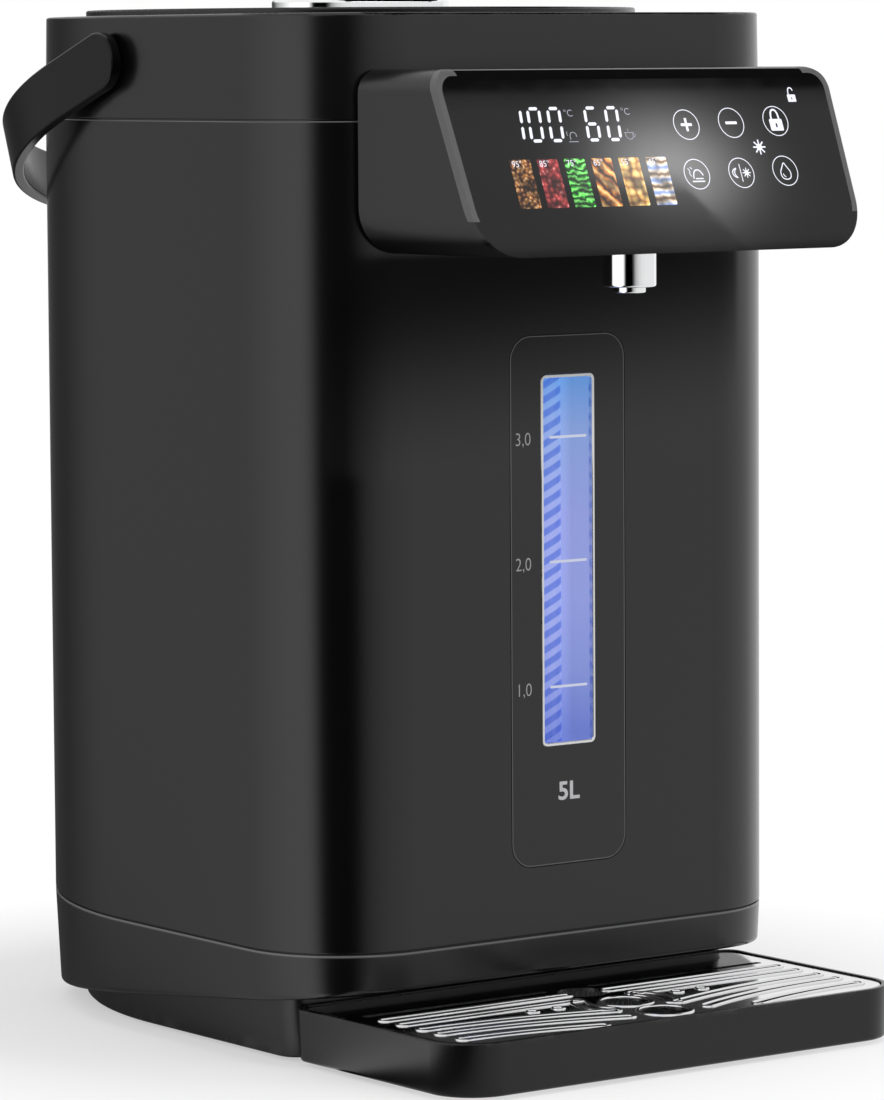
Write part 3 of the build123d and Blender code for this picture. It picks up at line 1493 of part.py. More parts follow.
slot_width = 3.2
slot_end_x = 85.7
hole_y = front_y - 31.0
hole_r = 8.75
ring_r = 16.0
ring_slot_width = 4.4
ring_slot_angle = 70
hole_rows = (-21.5, 0.0, 24.0)
drain_r = 1.75
drain_x = (26.0, 37.0)
drain_y = hole_y + 4.0
straight_rows = [(1.5, 11.1), (-9.0, 9.1), (-19.5, 12.1)]
curved_rows = [(-30.8, 14.0, -42.4), (-41.0, 17.3, -54.2), (-52.8, 34.0, -61.4)]

with BuildPart() as drip_grille:
    with BuildSketch(Plane.XY.offset(grille_z)):
        add(tray_outline(tray_rim + liner_gap))
    extrude(amount=grille_t)
    fillet(drip_grille.faces().sort_by(Axis.Z)[-1].edges(), radius=grille_edge_r)
    with BuildSketch(Plane.XY.offset(grille_z - over)):
        for row_y, inner_x in straight_rows:
            with Locations(((slot_end_x + inner_x) / 2, front_y + row_y)):
                SlotCenterToCenter(slot_end_x - inner_x, slot_width)
        for outer_y, inner_x, inner_y in curved_rows:
            with BuildLine(mode=Mode.PRIVATE) as row:
                TangentArc((slot_end_x, front_y + outer_y), (inner_x, front_y + inner_y), tangent=(-1, 0))
            SlotArc(row.edges()[0], slot_width)
        with BuildLine(mode=Mode.PRIVATE) as ring:
            CenterArc((0, hole_y), ring_r, -ring_slot_angle / 2, ring_slot_angle)
        SlotArc(ring.edges()[0], ring_slot_width)
        with Locations(*[(across, drain_y) for across in drain_x]):
            Circle(drain_r)
        mirror(about=Plane.YZ)
        with Locations(*[(0, hole_y + along) for along in hole_rows]):
            Circle(hole_r)
    extrude(amount=grille_t + 2 * over, mode=Mode.SUBTRACT)
save(drip_grille.part, "drip_grille")
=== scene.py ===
"""Electric thermo pot: the looks of every piece, in the order in which the pot is put together."""

import math

import bpy
from mathutils import Matrix, Vector


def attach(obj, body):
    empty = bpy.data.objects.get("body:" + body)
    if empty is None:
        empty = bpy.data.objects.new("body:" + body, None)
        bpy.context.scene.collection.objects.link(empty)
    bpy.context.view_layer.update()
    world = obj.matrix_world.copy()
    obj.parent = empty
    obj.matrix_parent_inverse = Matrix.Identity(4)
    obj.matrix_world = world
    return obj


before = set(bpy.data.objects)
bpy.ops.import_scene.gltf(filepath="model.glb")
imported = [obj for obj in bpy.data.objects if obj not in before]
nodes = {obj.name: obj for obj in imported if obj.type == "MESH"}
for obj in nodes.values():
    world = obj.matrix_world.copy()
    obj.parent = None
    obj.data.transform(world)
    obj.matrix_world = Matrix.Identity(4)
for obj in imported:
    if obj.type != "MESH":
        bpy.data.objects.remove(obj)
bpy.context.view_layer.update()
bpy.ops.object.select_all(action="DESELECT")


# Base skirt: a deep tray of black moulded plastic that closes the pot from below. Its sides come
# out of a spark-eroded mould with a fine satin grain, and its lower rim rubs on the worktop.
def set_sockets(tree, node, sockets):
    """Gives inputs of a node their values, or links them to the outputs of other nodes."""
    for name, value in sockets.items():
        if isinstance(value, bpy.types.NodeSocket):
            tree.links.new(value, node.inputs[name])
        else:
            node.inputs[name].default_value = value


def add_node(tree, kind, sockets=None, **settings):
    """One shader node; a socket is given a number, a colour or another node's output."""
    made = tree.nodes.new("ShaderNode" + kind)
    for name, value in settings.items():
        setattr(made, name, value)
    set_sockets(tree, made, sockets or {})
    return made


def calculate(tree, operation, *values):
    """The result of one sum."""
    return add_node(tree, "Math", dict(enumerate(values)), operation=operation).outputs[0]


def with_vectors(tree, operation, *values):
    """The outputs of one sum with points, directions or colours."""
    return add_node(tree, "VectorMath", dict(enumerate(values)), operation=operation).outputs


def carry_over(tree, value, begin=0.0, end=1.0, low=0.0, high=1.0):
    """Carries a value over from one range to another and keeps it inside that."""
    sockets = {"Value": value, "From Min": begin, "From Max": end, "To Min": low, "To Max": high}
    return add_node(tree, "MapRange", sockets).outputs[0]


def mix(tree, share, first, last, **settings):
    """A colour that lies between two others, or is blended from them."""
    return add_node(tree, "Mix", {0: share, 6: first, 7: last}, data_type="RGBA", **settings).outputs[2]


def switch(tree, share, first, last):
    """A number that lies between two others."""
    return add_node(tree, "Mix", {0: share, 2: first, 3: last}, data_type="FLOAT").outputs[0]


def own_place(tree):
    """The shaded point, in metres."""
    return add_node(tree, "TexCoord").outputs["Object"]


def split(tree, place):
    """The X, Y and Z of a point."""
    return add_node(tree, "SeparateXYZ", {0: place}).outputs


def clouds(tree, place, scale, detail=2.0, **more):
    """Soft noise, as a number and as a colour."""
    return add_node(tree, "TexNoise", {"Vector": place, "Scale": scale, "Detail": detail, **more}).outputs


def relief(tree, depth, height, strength=1.0, **more):
    """A relief on the surface, with its depth in metres."""
    sockets = {"Strength": strength, "Distance": depth, "Height": height, **more}
    return add_node(tree, "Bump", sockets).outputs[0]


def start_effect(name, inputs, outputs):
    """An empty effect, a node group with named sockets: the group, its given values, its output node."""
    group = bpy.data.node_groups.new(name, "ShaderNodeTree")
    for label, value in inputs.items():
        kind = "NodeSocketVector" if isinstance(value, tuple) else "NodeSocketFloat"
        group.interface.new_socket(name=label, in_out="INPUT", socket_type=kind).default_value = value
    for label in outputs:
        group.interface.new_socket(name=label, in_out="OUTPUT", socket_type="NodeSocketFloat")
    return group, group.nodes.new("NodeGroupInput").outputs, group.nodes.new("NodeGroupOutput")


def use_effect(tree, effect, **values):
    """The outputs of an effect that is placed with some values of its own."""
    return add_node(tree, "Group", values, node_tree=effect).outputs


def start_material(name):
    """A new material with its node tree and its Principled shader."""
    material = bpy.data.materials.new(name)
    material.use_nodes = True
    return material, material.node_tree, material.node_tree.nodes["Principled BSDF"]


def grey(level):
    """A neutral colour of one linear level."""
    return (level, level, level * 1.03, 1.0)


skin_outputs = ["Roughness", "Height", "Tone"]
moulded_grain, given, result = start_effect(
    "moulded_grain", {"Grain": 2600.0, "Smear": 11.0, "Low": 0.3, "High": 0.4}, skin_outputs
)
place = own_place(moulded_grain)
fine = clouds(moulded_grain, place, given["Grain"])[0]
broad = clouds(moulded_grain, place, given["Smear"], 5.0, Distortion=0.7)[0]
gloss = carry_over(moulded_grain, broad, 0.3, 0.7, given["Low"], given["High"])
set_sockets(moulded_grain, result, {"Roughness": gloss, "Height": fine, "Tone": broad})

# Rim wear and painted highlight: Wear is patchy wear near a rim at one height; Edge is an even band at that
# height, used for a painted highlight along edges.
rim_wear_and_highlight, given, result = start_effect("rim_wear_and_highlight", {"Level": 0.0, "Reach": 0.003}, ["Wear", "Edge"])
place = own_place(rim_wear_and_highlight)
off_rim = calculate(rim_wear_and_highlight, "SUBTRACT", split(rim_wear_and_highlight, place)["Z"], given["Level"])
off_rim = calculate(rim_wear_and_highlight, "ABSOLUTE", off_rim)
near_rim = carry_over(rim_wear_and_highlight, off_rim, begin=given["Reach"], end=0.0)
patches = clouds(rim_wear_and_highlight, place, 90.0, 6.0, Roughness=0.7)[0]
rubbed = carry_over(rim_wear_and_highlight, patches, 0.48, 0.68)
worn = calculate(rim_wear_and_highlight, "MULTIPLY", near_rim, rubbed)
set_sockets(rim_wear_and_highlight, result, {"Wear": worn, "Edge": near_rim})

fine_depth = 0.000004
mould_black = 0.0022
# Grey of the painted highlight along edges.
highlight_grey = 0.16
worn_lift, worn_gloss = 0.02, 0.15
skirt_rim = {"Level": 0.003, "Reach": 0.004}


def paint_edge_highlight(tree, tone, edge):
    """Paints a highlight on a colour: a lighter band along a rounded edge, standing in for the light that
    the edge catches.
    """
    return mix(tree, use_effect(tree, rim_wear_and_highlight, **edge)["Edge"], tone, grey(highlight_grey))


def plastic(name, level, low, high, grain=2600.0, depth=fine_depth, rim=None, edge=None, shine=0.5):
    """Moulded plastic of one grey level, with its grain, its uneven gloss and, on request, a worn rim
    or a painted highlight along an edge at one height."""
    material, tree, shader = start_material(name)
    skin = use_effect(tree, moulded_grain, Grain=grain, Low=low, High=high)
    tone = mix(tree, skin["Tone"], grey(level * 0.8), grey(level * 1.2))
    gloss = skin["Roughness"]
    if rim:
        worn = use_effect(tree, rim_wear_and_highlight, **rim)["Wear"]
        tone = mix(tree, worn, tone, grey(level + worn_lift))
        gloss = calculate(tree, "MULTIPLY_ADD", worn, worn_gloss, gloss)
    if edge:
        tone = paint_edge_highlight(tree, tone, edge)
    grained = relief(tree, depth, skin["Height"])
    set_sockets(tree, shader, {"Base Color": tone, "Roughness": gloss, "Normal": grained})
    shader.inputs["Specular IOR Level"].default_value = shine
    return material


def dress(material, *names):
    """Gives CAD pieces their finish."""
    for name in names:
        slots = nodes[name].data.materials
        slots.clear()
        slots.append(material)


dress(plastic("skirt_plastic", mould_black, 0.25, 0.31, rim=skirt_rim), "base_skirt")

# Feet: five pads of soft black rubber, pressed into the skirt, that carry the whole pot. Their faces
# are matt and a little dusty.
dress(plastic("foot_rubber", 0.018, 0.68, 0.85, grain=900.0, depth=0.00002), "rubber_feet")

# Screws: zinc-plated steel, turned and rolled, so that their sheen runs in fine rings. The same
# plating covers the hinge pin, the motor bracket and the other small steel pieces.
brushed, given, result = start_effect(
    "brushed", {"Stretch": (300.0, 300.0, 300.0), "Low": 0.2, "High": 0.35}, skin_outputs
)
drawn = with_vectors(brushed, "MULTIPLY", own_place(brushed), given["Stretch"])[0]
lines = clouds(brushed, drawn, 1.0, 4.0, Roughness=0.6)[0]
gloss = carry_over(brushed, lines, 0.3, 0.7, given["Low"], given["High"])
set_sockets(brushed, result, {"Roughness": gloss, "Height": lines, "Tone": lines})


def dimmed(colour, share):
    """A colour at a share of its brightness."""
    return tuple(share * part for part in colour[:3]) + (1.0,)


def metal(name, colour, low, high, stretch, depth=fine_depth):
    """Bare or plated metal with drawn, brushed or cast marks."""
    material, tree, shader = start_material(name)
    skin = use_effect(tree, brushed, Stretch=stretch, Low=low, High=high)
    finish = {
        "Base Color": mix(tree, skin["Tone"], dimmed(colour, 0.86), colour),
        "Roughness": skin["Roughness"],
        "Normal": relief(tree, depth, skin["Height"]),
        "Metallic": 1.0,
    }
    set_sockets(tree, shader, finish)
    return material


zinc_steel = metal("zinc_steel", (0.56, 0.57, 0.58, 1.0), 0.22, 0.4, (200.0, 200.0, 2600.0))
dress(zinc_steel, "base_screws")

# Lower shell: the black moulding above the skirt that carries the jacket, the tank and the tray's
# guides. It has the same satin grain as the other outer mouldings.
# A thin lighter band along the shell's top edge, at the seam under the jacket, is a painted highlight.
shell_seam_highlight = {"Level": 0.0392, "Reach": 0.0006}
dress(plastic("shell_plastic", mould_black, 0.2, 0.25, edge=shell_seam_highlight), "lower_shell")

# Mains inlet: a socket of glossy black heat-proof plastic set in the back, with three flat pins of
# nickel-plated brass in it.
dress(plastic("inlet_plastic", 0.008, 0.16, 0.24, grain=1500.0), "mains_inlet")
dress(metal("nickel_plate", (0.72, 0.66, 0.55, 1.0), 0.14, 0.28, (150.0, 2400.0, 150.0)), "inlet_pins")

# Body jacket: one bent steel sheet, coated in black satin paint. The paint lies in very low, wide
# ripples and its gloss changes a little from place to place.
# A thin lighter band along the jacket's top edge, at the seam under the collar, is a painted highlight.
jacket_top_highlight = {"Level": 0.3209, "Reach": 0.0005}
coated_sheet, tree, shader = start_material("coated_sheet")
skin = use_effect(tree, moulded_grain, Grain=1700.0, Smear=8.0, Low=0.19, High=0.22)
tone = mix(tree, skin["Tone"], grey(0.0018), grey(0.0026))
ripples = relief(tree, 0.000005, clouds(tree, own_place(tree), 420.0, 1.0)[0])
finish = {
    "Base Color": paint_edge_highlight(tree, tone, jacket_top_highlight),
    "Roughness": skin["Roughness"],
    "Normal": relief(tree, 0.000003, skin["Height"], Normal=ripples),
}
set_sockets(tree, shader, finish)
dress(coated_sheet, "body_jacket")

# Top collar: a black moulding round the tank's mouth, with the two bosses that the carrying handle
# swings on and the knuckles of the lid's hinge. Its upper rim is handled at every filling.
deck_black = 0.0024
collar_rim = {"Level": 0.3568, "Reach": 0.0015}
dress(plastic("collar_plastic", deck_black, 0.19, 0.24, rim=collar_rim), "top_collar")
dress(plastic("cover_plastic", mould_black, 0.2, 0.25), "hinge_cover")
dress(zinc_steel, "lid_hinge_pin")

# Lid: a round black cover, a drawn steel liner under it, a soft seal between the two and the screws
# that hold them together. The steam cap in it lifts out for cleaning.
lid_rim = {"Level": 0.3592, "Reach": 0.0012}
dress(plastic("lid_plastic", 0.003, 0.25, 0.275, rim=lid_rim), "lid_cover")
tank_steel = metal("tank_steel", (0.62, 0.61, 0.59, 1.0), 0.2, 0.32, (60.0, 60.0, 1800.0))
dress(tank_steel, "lid_liner")
milky_silicone = plastic("milky_silicone", 0.62, 0.4, 0.52, grain=500.0, depth=0.000008)
dress(milky_silicone, "lid_gasket")
dress(zinc_steel, "lid_screws")
dress(plastic("steam_cap_plastic", 0.006, 0.2, 0.3, grain=1200.0), "steam_cap")

# Lid lever: a chromed rocker set in the lid, with its steel pin and spring. Pressed at the back, it
# draws a white acetal bolt out of the collar.
mirror_chrome, tree, shader = start_material("mirror_chrome")
place = own_place(tree)
wiped = clouds(tree, place, 55.0, 6.0, Distortion=1.5)[0]
swirl = clouds(tree, place, 900.0)[0]
finish = {
    "Base Color": mix(tree, wiped, (0.84, 0.85, 0.86, 1.0), (0.93, 0.93, 0.94, 1.0)),
    "Roughness": carry_over(tree, wiped, 0.35, 0.75, 0.035, 0.09),
    "Normal": relief(tree, 0.000001, swirl, strength=0.4),
    "Metallic": 1.0,
}
set_sockets(tree, shader, finish)
dress(mirror_chrome, "lid_lever")
dress(zinc_steel, "lever_pin")
dress(metal("spring_steel", (0.42, 0.42, 0.43, 1.0), 0.25, 0.4, (1500.0, 1500.0, 1500.0)), "lever_spring")
white_acetal = plastic("white_acetal", 0.66, 0.35, 0.5, grain=700.0)
dress(white_acetal, "latch_bolt")

# Carrying handle: one black bail, smoother than the body, swinging on two short steel pivots. Hands
# have dulled its reflection.
dress(plastic("handle_plastic", 0.0025, 0.18, 0.25, grain=2200.0, shine=0.2), "carry_handle")
dress(zinc_steel, "handle_pivots")

# Head: the bezel is a lighter grey satin frame at both ends of the glass, and the housing behind it
# has the satin of the body.
dress(plastic("bezel_plastic", 0.1, 0.42, 0.52, grain=2400.0), "head_bezel")
dress(plastic("housing_plastic", 0.004, 0.24, 0.3), "head_housing")

# Touch glass: dark glass, rolled back along its upper edge, over the display. Fingers leave it
# faintly smeared.
dark_glass, tree, shader = start_material("dark_glass")
smear = clouds(tree, own_place(tree), 38.0, 7.0, Distortion=2.0)[0]
tone = mix(tree, smear, grey(0.0035), grey(0.0055))
set_sockets(tree, shader, {"Base Color": tone, "Roughness": carry_over(tree, smear, 0.4, 0.8, 0.03, 0.07)})
dress(dark_glass, "touch_glass")

# Display: a backlit film screen on a green circuit board. What it shows shines through the dark
# glass, and is laid on it here in flat marks: figures, degree signs, pictures, rings and icons.
mark_t = 0.03
glass_lean = math.radians(22.36)
millimetres = Matrix.Scale(0.001, 4)
glass_frame = Matrix.Translation((0.0, -0.1565, 0.338)) @ Matrix.Rotation(math.pi / 2 - glass_lean, 4, "X")
on_glass = glass_frame @ millimetres
raise_marks = Matrix.Translation((0.0, 0.0, mark_t))


def start_plate(width, height, corner=0.0, steps=1):
    """Begins a flat rectangle in edit mode, with its corners cut or rounded."""
    bpy.ops.mesh.primitive_plane_add(size=1.0)
    bpy.context.object.data.transform(Matrix.Diagonal((width, height, 1.0, 1.0)))
    bpy.ops.object.mode_set(mode="EDIT")
    if corner:
        bpy.ops.mesh.select_all(action="SELECT")
        bpy.ops.mesh.bevel(offset=corner, segments=steps, affect="VERTICES")


def keep_rim(width):
    """Leaves a rim of the flat face that is being edited."""
    bpy.ops.mesh.select_all(action="SELECT")
    bpy.ops.mesh.inset(thickness=width)
    bpy.ops.mesh.delete(type="FACE")


def close_flat(at, turn=0.0):
    """Thickens the flat face that is being edited into a closed mark, and puts it in its place."""
    bpy.ops.mesh.select_all(action="SELECT")
    bpy.ops.mesh.extrude_region_move(TRANSFORM_OT_translate={"value": (0.0, 0.0, mark_t)})
    bpy.ops.mesh.select_all(action="SELECT")
    bpy.ops.mesh.normals_make_consistent(inside=False)
    bpy.ops.object.mode_set(mode="OBJECT")
    mark = bpy.context.object
    mark.data.transform(Matrix.Translation((*at, 0.0)) @ Matrix.Rotation(math.radians(turn), 4, "Z"))
    return mark


def flat_bar(width, height, at, corner=0.0, steps=1, turn=0.0):
    """A flat bar in millimetres, centred at a point."""
    start_plate(width, height, corner, steps)
    return close_flat(at, turn)


def start_curve(kind, points, half, sides, closed):
    """Begins a round stroke of one half width through some points in a plane."""
    bpy.ops.curve.primitive_nurbs_path_add()
    stroke = bpy.context.object
    stroke.data.splines.clear()
    spline = stroke.data.splines.new(kind)
    spline.points.add(len(points) - 1)
    for knot, (across, up) in zip(spline.points, points):
        knot.co = (across, up, 0.0, 1.0)
    spline.use_cyclic_u = closed
    stroke.data.bevel_depth = half
    stroke.data.bevel_resolution = sides
    return stroke, spline


def flat_line(points, width, at=(0.0, 0.0), closed=False):
    """A flat stroke in millimetres along some points round a place, with round ends."""
    stroke, spline = start_curve("NURBS", points, width / 2, 1, closed)
    spline.use_endpoint_u = not closed
    spline.order_u = 3
    spline.resolution_u = 6
    stroke.data.use_fill_caps = True
    bpy.ops.object.convert(target="MESH")
    flatten = Matrix.Diagonal((1.0, 1.0, mark_t / width, 1.0))
    stroke.data.transform(Matrix.Translation((*at, mark_t / 2)) @ flatten)
    return stroke


def strokes(at, *lines):
    """The flat strokes of one icon, each given as its width and its points."""
    return [flat_line(points, width, at) for width, points in lines]


def letters(words, size, at, weight=0.0, narrow=1.0):
    """Flat lettering in millimetres, from its lower left corner."""
    bpy.ops.object.text_add()
    text = bpy.context.object
    text.data.body = words
    text.data.size = size
    text.data.offset = weight
    text.data.extrude = mark_t / 2
    bpy.ops.object.convert(target="MESH")
    text.data.transform(Matrix.Translation((*at, mark_t / 2)) @ Matrix.Diagonal((narrow, 1.0, 1.0, 1.0)))
    return text


def lay(marks, name, place, material, body="body"):
    """Joins flat marks into one piece, lays it on its surface and lets it ride."""
    bpy.ops.object.select_all(action="DESELECT")
    for mark in marks:
        mark.select_set(True)
    bpy.context.view_layer.objects.active = marks[0]
    if len(marks) > 1:
        bpy.ops.object.join()
    piece = bpy.context.view_layer.objects.active
    piece.name = name
    piece.data.name = name
    piece.data.transform(place)
    piece.data.materials.clear()
    piece.data.materials.append(material)
    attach(piece, body)
    bpy.ops.object.select_all(action="DESELECT")


def lit(name, colour, strength, spread=0.12):
    """A lit mark whose brightness varies a little over the backlight behind it."""
    material, tree, shader = start_material(name)
    cloud = clouds(tree, own_place(tree), 160.0)[0]
    finish = {
        "Emission Color": mix(tree, cloud, dimmed(colour, 1.0 - spread), colour),
        "Emission Strength": strength,
        "Base Color": grey(0.02),
        "Roughness": carry_over(tree, cloud, low=0.05, high=0.14),
    }
    set_sockets(tree, shader, finish)
    return material


dress(lit("screen_film", (0.1, 0.11, 0.13, 1.0), 0.4), "display_screen")

board_green, tree, shader = start_material("board_green")
place = own_place(tree)
track_pattern = {
    "Vector": place,
    "Scale": 260.0,
    "Mortar Size": 0.035,
    "Color1": (0.015, 0.1, 0.035, 1.0),
    "Color2": (0.02, 0.13, 0.045, 1.0),
    "Mortar": (0.04, 0.22, 0.08, 1.0),
}
tracks = add_node(tree, "TexBrick", track_pattern).outputs
lacquer = clouds(tree, place, 120.0, 3.0)[0]
finish = {
    "Base Color": tracks["Color"],
    "Roughness": carry_over(tree, lacquer, low=0.25, high=0.45),
    "Normal": relief(tree, 0.00003, tracks["Fac"], strength=0.5),
}
set_sockets(tree, shader, finish)
dress(board_green, "display_board")

# Figures: two numbers in seven bars, leaning a little. Each has the middle of its place, its upright
# bars and its lying ones; the first is a plain 1, whose bars stand in the middle.
white_light = lit("white_light", (0.88, 0.89, 1.0, 1.0), 1.15, 0.06)
grey_light = lit("grey_light", (0.42, 0.43, 0.5, 1.0), 1.0)
figure_mid, figure_half, figure_wide = -20.0, 5.7, 2.35
figure_slant = 0.112
bar_t, bar_cut, upright_long, lying_long = 1.15, 0.45, 4.4, 3.6
uprights = {"left_top": (-1, 0.5), "left_low": (-1, -0.5), "right_top": (1, 0.5), "right_low": (1, -0.5)}
lying_rows = {"top": 1, "middle": 0, "low": -1}
nought = (list(uprights), ["top", "low"])
figures = [
    (-52.8, ["left_top", "left_low"], []),
    (-47.3, *nought),
    (-38.9, *nought),
    (-23.4, ["left_top", "left_low", "right_low"], list(lying_rows)),
    (-14.6, *nought),
]
marks = []
for across, standing, lying in figures:
    reach = figure_wide if lying else 0.0
    for side in standing:
        way, up = uprights[side]
        at = (across + way * reach, figure_mid + up * figure_half)
        marks.append(flat_bar(bar_t, upright_long, at, corner=bar_cut))
    for row in lying:
        at = (across, figure_mid + lying_rows[row] * figure_half)
        marks.append(flat_bar(lying_long, bar_t, at, corner=bar_cut))
slant = Matrix.Identity(4)
slant[0][1] = figure_slant
slant = Matrix.Translation((0.0, figure_mid, 0.0)) @ slant @ Matrix.Translation((0.0, -figure_mid, 0.0))
lay(marks, "display_figures", on_glass @ slant, white_light)

# Signs: the two degree signs, and a small tap and a small cup that say what each number is for. They
# are lit in grey, dimmer than the figures.
degree_size, degree_weight = 3.5, -0.02
marks = [
    *(letters("°C", degree_size, at, degree_weight) for at in ((-34.4, -17.2), (-10.1, -16.9))),
    *strokes(
        (-33.0, -24.3),
        (0.3, [(-1.9, -1.9), (2.0, -1.9)]),
        (0.3, [(-1.0, -1.2), (-1.1, 0.8), (0.2, 1.6), (1.8, 1.0), (1.7, -0.2)]),
        (0.25, [(-1.9, 0.3), (-2.4, 1.1), (-1.8, 1.8)]),
    ),
    *strokes(
        (-8.7, -24.0),
        (0.3, [(-1.8, 0.6), (-1.6, -1.2), (0.0, -1.8), (1.4, -1.2), (1.5, 0.6)]),
        (0.3, [(-2.0, 0.7), (1.8, 0.7)]),
        (0.25, [(1.6, 0.2), (2.5, 0.1), (2.1, -0.9), (1.3, -0.9)]),
        (0.22, [(-0.5, 1.2), (-0.1, 1.6), (-0.5, 2.1)]),
    ),
]
lay(marks, "display_signs", on_glass, grey_light)

# Pictures: six small backlit tiles, one for each preset warmth. Each shows a plain pattern of its
# own in warm or fresh colours, with its number of degrees over it.
tile_wide, tile_tall, tile_corner = 8.7, 17.2, 0.5
tile_middle = -40.8
tile_stretch = (1.0, 2.0, 1.0)
tile_strength = 1.5
tile_bend = (0.22, 0.22, 0.0)
degrees_size, degrees_left, degrees_drop = 3.1, 3.6, 2.6


def set_stops(ramp, stops):
    """Gives a colour ramp its stops, each a position with its colour or its plain brightness."""
    made = ramp.color_ramp.elements
    for k, (spot, colour) in enumerate(stops):
        stop = made[k] if k < 2 else made.new(spot)
        stop.position = spot
        stop.color = (colour if isinstance(colour, tuple) else (colour, colour, colour)) + (1.0,)


def ramp_of(tree, value, stops):
    """The colour that a value finds in a row of stops."""
    ramp = add_node(tree, "ValToRGB", {0: value})
    set_stops(ramp, stops)
    return ramp.outputs[0]


def tile_picture(name, pattern, measures, colours):
    """A backlit pattern on the tile's own map, in a few colours, brighter in some places."""
    kind, output, settings = pattern
    material, tree, shader = start_material(name)
    chart = add_node(tree, "TexCoord").outputs["UV"]
    square = with_vectors(tree, "MULTIPLY", chart, tile_stretch)[0]
    bent = clouds(tree, square, 3.0)
    moved = with_vectors(tree, "MULTIPLY_ADD", bent["Color"], tile_bend, square)[0]
    shape = add_node(tree, kind, {"Vector": moved, **measures}, **settings).outputs[output]
    colour = ramp_of(tree, shape, [(k / (len(colours) - 1), colour) for k, colour in enumerate(colours)])
    pools = clouds(tree, square, 1.7, 1.0)[0]
    light = ramp_of(tree, pools, [(0.36, 0.16), (0.5, 0.6), (0.62, 1.0)])
    finish = {
        "Emission Color": mix(tree, 1.0, colour, light, blend_type="MULTIPLY"),
        "Emission Strength": tile_strength,
        "Base Color": grey(0.01),
        "Roughness": carry_over(tree, bent[0], low=0.05, high=0.14),
    }
    set_sockets(tree, shader, finish)
    return material


cells = ("TexVoronoi", "Distance", {})
rings = ("TexWave", "Fac", {"wave_type": "RINGS"})
slanting = ("TexWave", "Fac", {"wave_type": "BANDS", "bands_direction": "DIAGONAL"})
layers = ("TexWave", "Fac", {"wave_type": "BANDS", "bands_direction": "Y"})
tiles = [
    (
        ("tile_amber", -57.6, "95°"),
        (cells, {"Scale": 7.0, "Randomness": 1.0}),
        [(0.9, 0.72, 0.45), (0.42, 0.17, 0.04), (0.06, 0.02, 0.01), (0.005, 0.003, 0.002)],
    ),
    (
        ("tile_red", -46.2, "85°"),
        (cells, {"Scale": 5.0, "Randomness": 0.7}),
        [(0.85, 0.5, 0.48), (0.5, 0.06, 0.06), (0.12, 0.01, 0.015), (0.01, 0.004, 0.004)],
    ),
    (
        ("tile_green", -34.9, "75°"),
        (rings, {"Scale": 1.3, "Distortion": 9.0, "Detail": 2.0, "Detail Scale": 1.4}),
        [(0.0, 0.02, 0.0), (0.01, 0.2, 0.01), (0.04, 0.62, 0.05), (0.3, 0.95, 0.22)],
    ),
    (
        ("tile_orange", -23.6, "65°"),
        (slanting, {"Scale": 0.9, "Distortion": 2.5, "Detail": 3.0, "Detail Scale": 3.0}),
        [(0.02, 0.006, 0.002), (0.45, 0.13, 0.02), (0.85, 0.33, 0.05), (0.95, 0.62, 0.25)],
    ),
    (
        ("tile_yellow", -11.9, "55°"),
        (cells, {"Scale": 3.0, "Randomness": 0.45}),
        [(1.0, 0.86, 0.5), (0.92, 0.58, 0.16), (0.35, 0.13, 0.02), (0.03, 0.012, 0.004)],
    ),
    (
        ("tile_peach", -0.3, "45°"),
        (layers, {"Scale": 0.55, "Distortion": 5.0, "Detail": 2.0, "Detail Scale": 1.0}),
        [(0.25, 0.36, 0.75), (0.9, 0.9, 0.95), (0.95, 0.72, 0.48), (0.12, 0.06, 0.03)],
    ),
]
marks = []
for (name, across, words), (pattern, measures), colours in tiles:
    picture = tile_picture(name, pattern, measures, colours)
    tile = flat_bar(tile_wide, tile_tall, (across, tile_middle), corner=tile_corner, steps=3)
    lay([tile], name, on_glass, picture)
    corner_place = (across - degrees_left, tile_middle + tile_tall / 2 - degrees_drop)
    marks.append(letters(words, degrees_size, corner_place, degree_weight))
lay(marks, "tile_degrees", on_glass @ raise_marks, white_light)

# Touch keys: six thin rings with their icons, and two small lights that show night mode and an open
# lock. They are printed behind the glass and lit in white.
key_r, line_w = 5.35, 0.3
more, less, lock = (16.7, -20.8), (36.4, -20.4), (56.2, -20.0)
pour, night, rinse = (15.7, -38.7), (35.2, -38.6), (54.7, -38.2)
sun_light, lock_light = (46.0, -29.4), (66.1, -11.7)


def flat_ring(radius, width, at):
    """A thin flat ring in millimetres round a point."""
    bpy.ops.mesh.primitive_circle_add(vertices=64, radius=radius + width / 2, fill_type="NGON")
    bpy.ops.object.mode_set(mode="EDIT")
    keep_rim(width)
    return close_flat(at)


def round_points(middle, radius, turns):
    """Points round a middle, one for each turn in degrees."""
    angles = [math.radians(turn) for turn in turns]
    return [(middle[0] + radius * math.cos(angle), middle[1] + radius * math.sin(angle)) for angle in angles]


def sun(at, inner, outer, width):
    """Eight short rays round a small disc."""
    turns = range(0, 360, 45)
    places = round_points(at, (inner + outer) / 2, turns)
    rays = [flat_bar(outer - inner, width, place, turn=turn) for place, turn in zip(places, turns)]
    return rays + [flat_bar(2 * inner, 2 * inner, at, corner=inner * 0.55, steps=4)]


def padlock(at, wide, tall, shackle, opened):
    """A padlock's body under its shackle, which is lifted out on one side when it is open."""
    half = wide * 0.3
    low = tall * 0.45
    end = low + shackle * 0.6 if opened else low
    knots = [(-half, low), (-half, low + shackle), (half, low + shackle), (half, end)]
    return [flat_bar(wide, tall, at, corner=wide * 0.08, steps=2), flat_line(knots, wide * 0.13, at)]


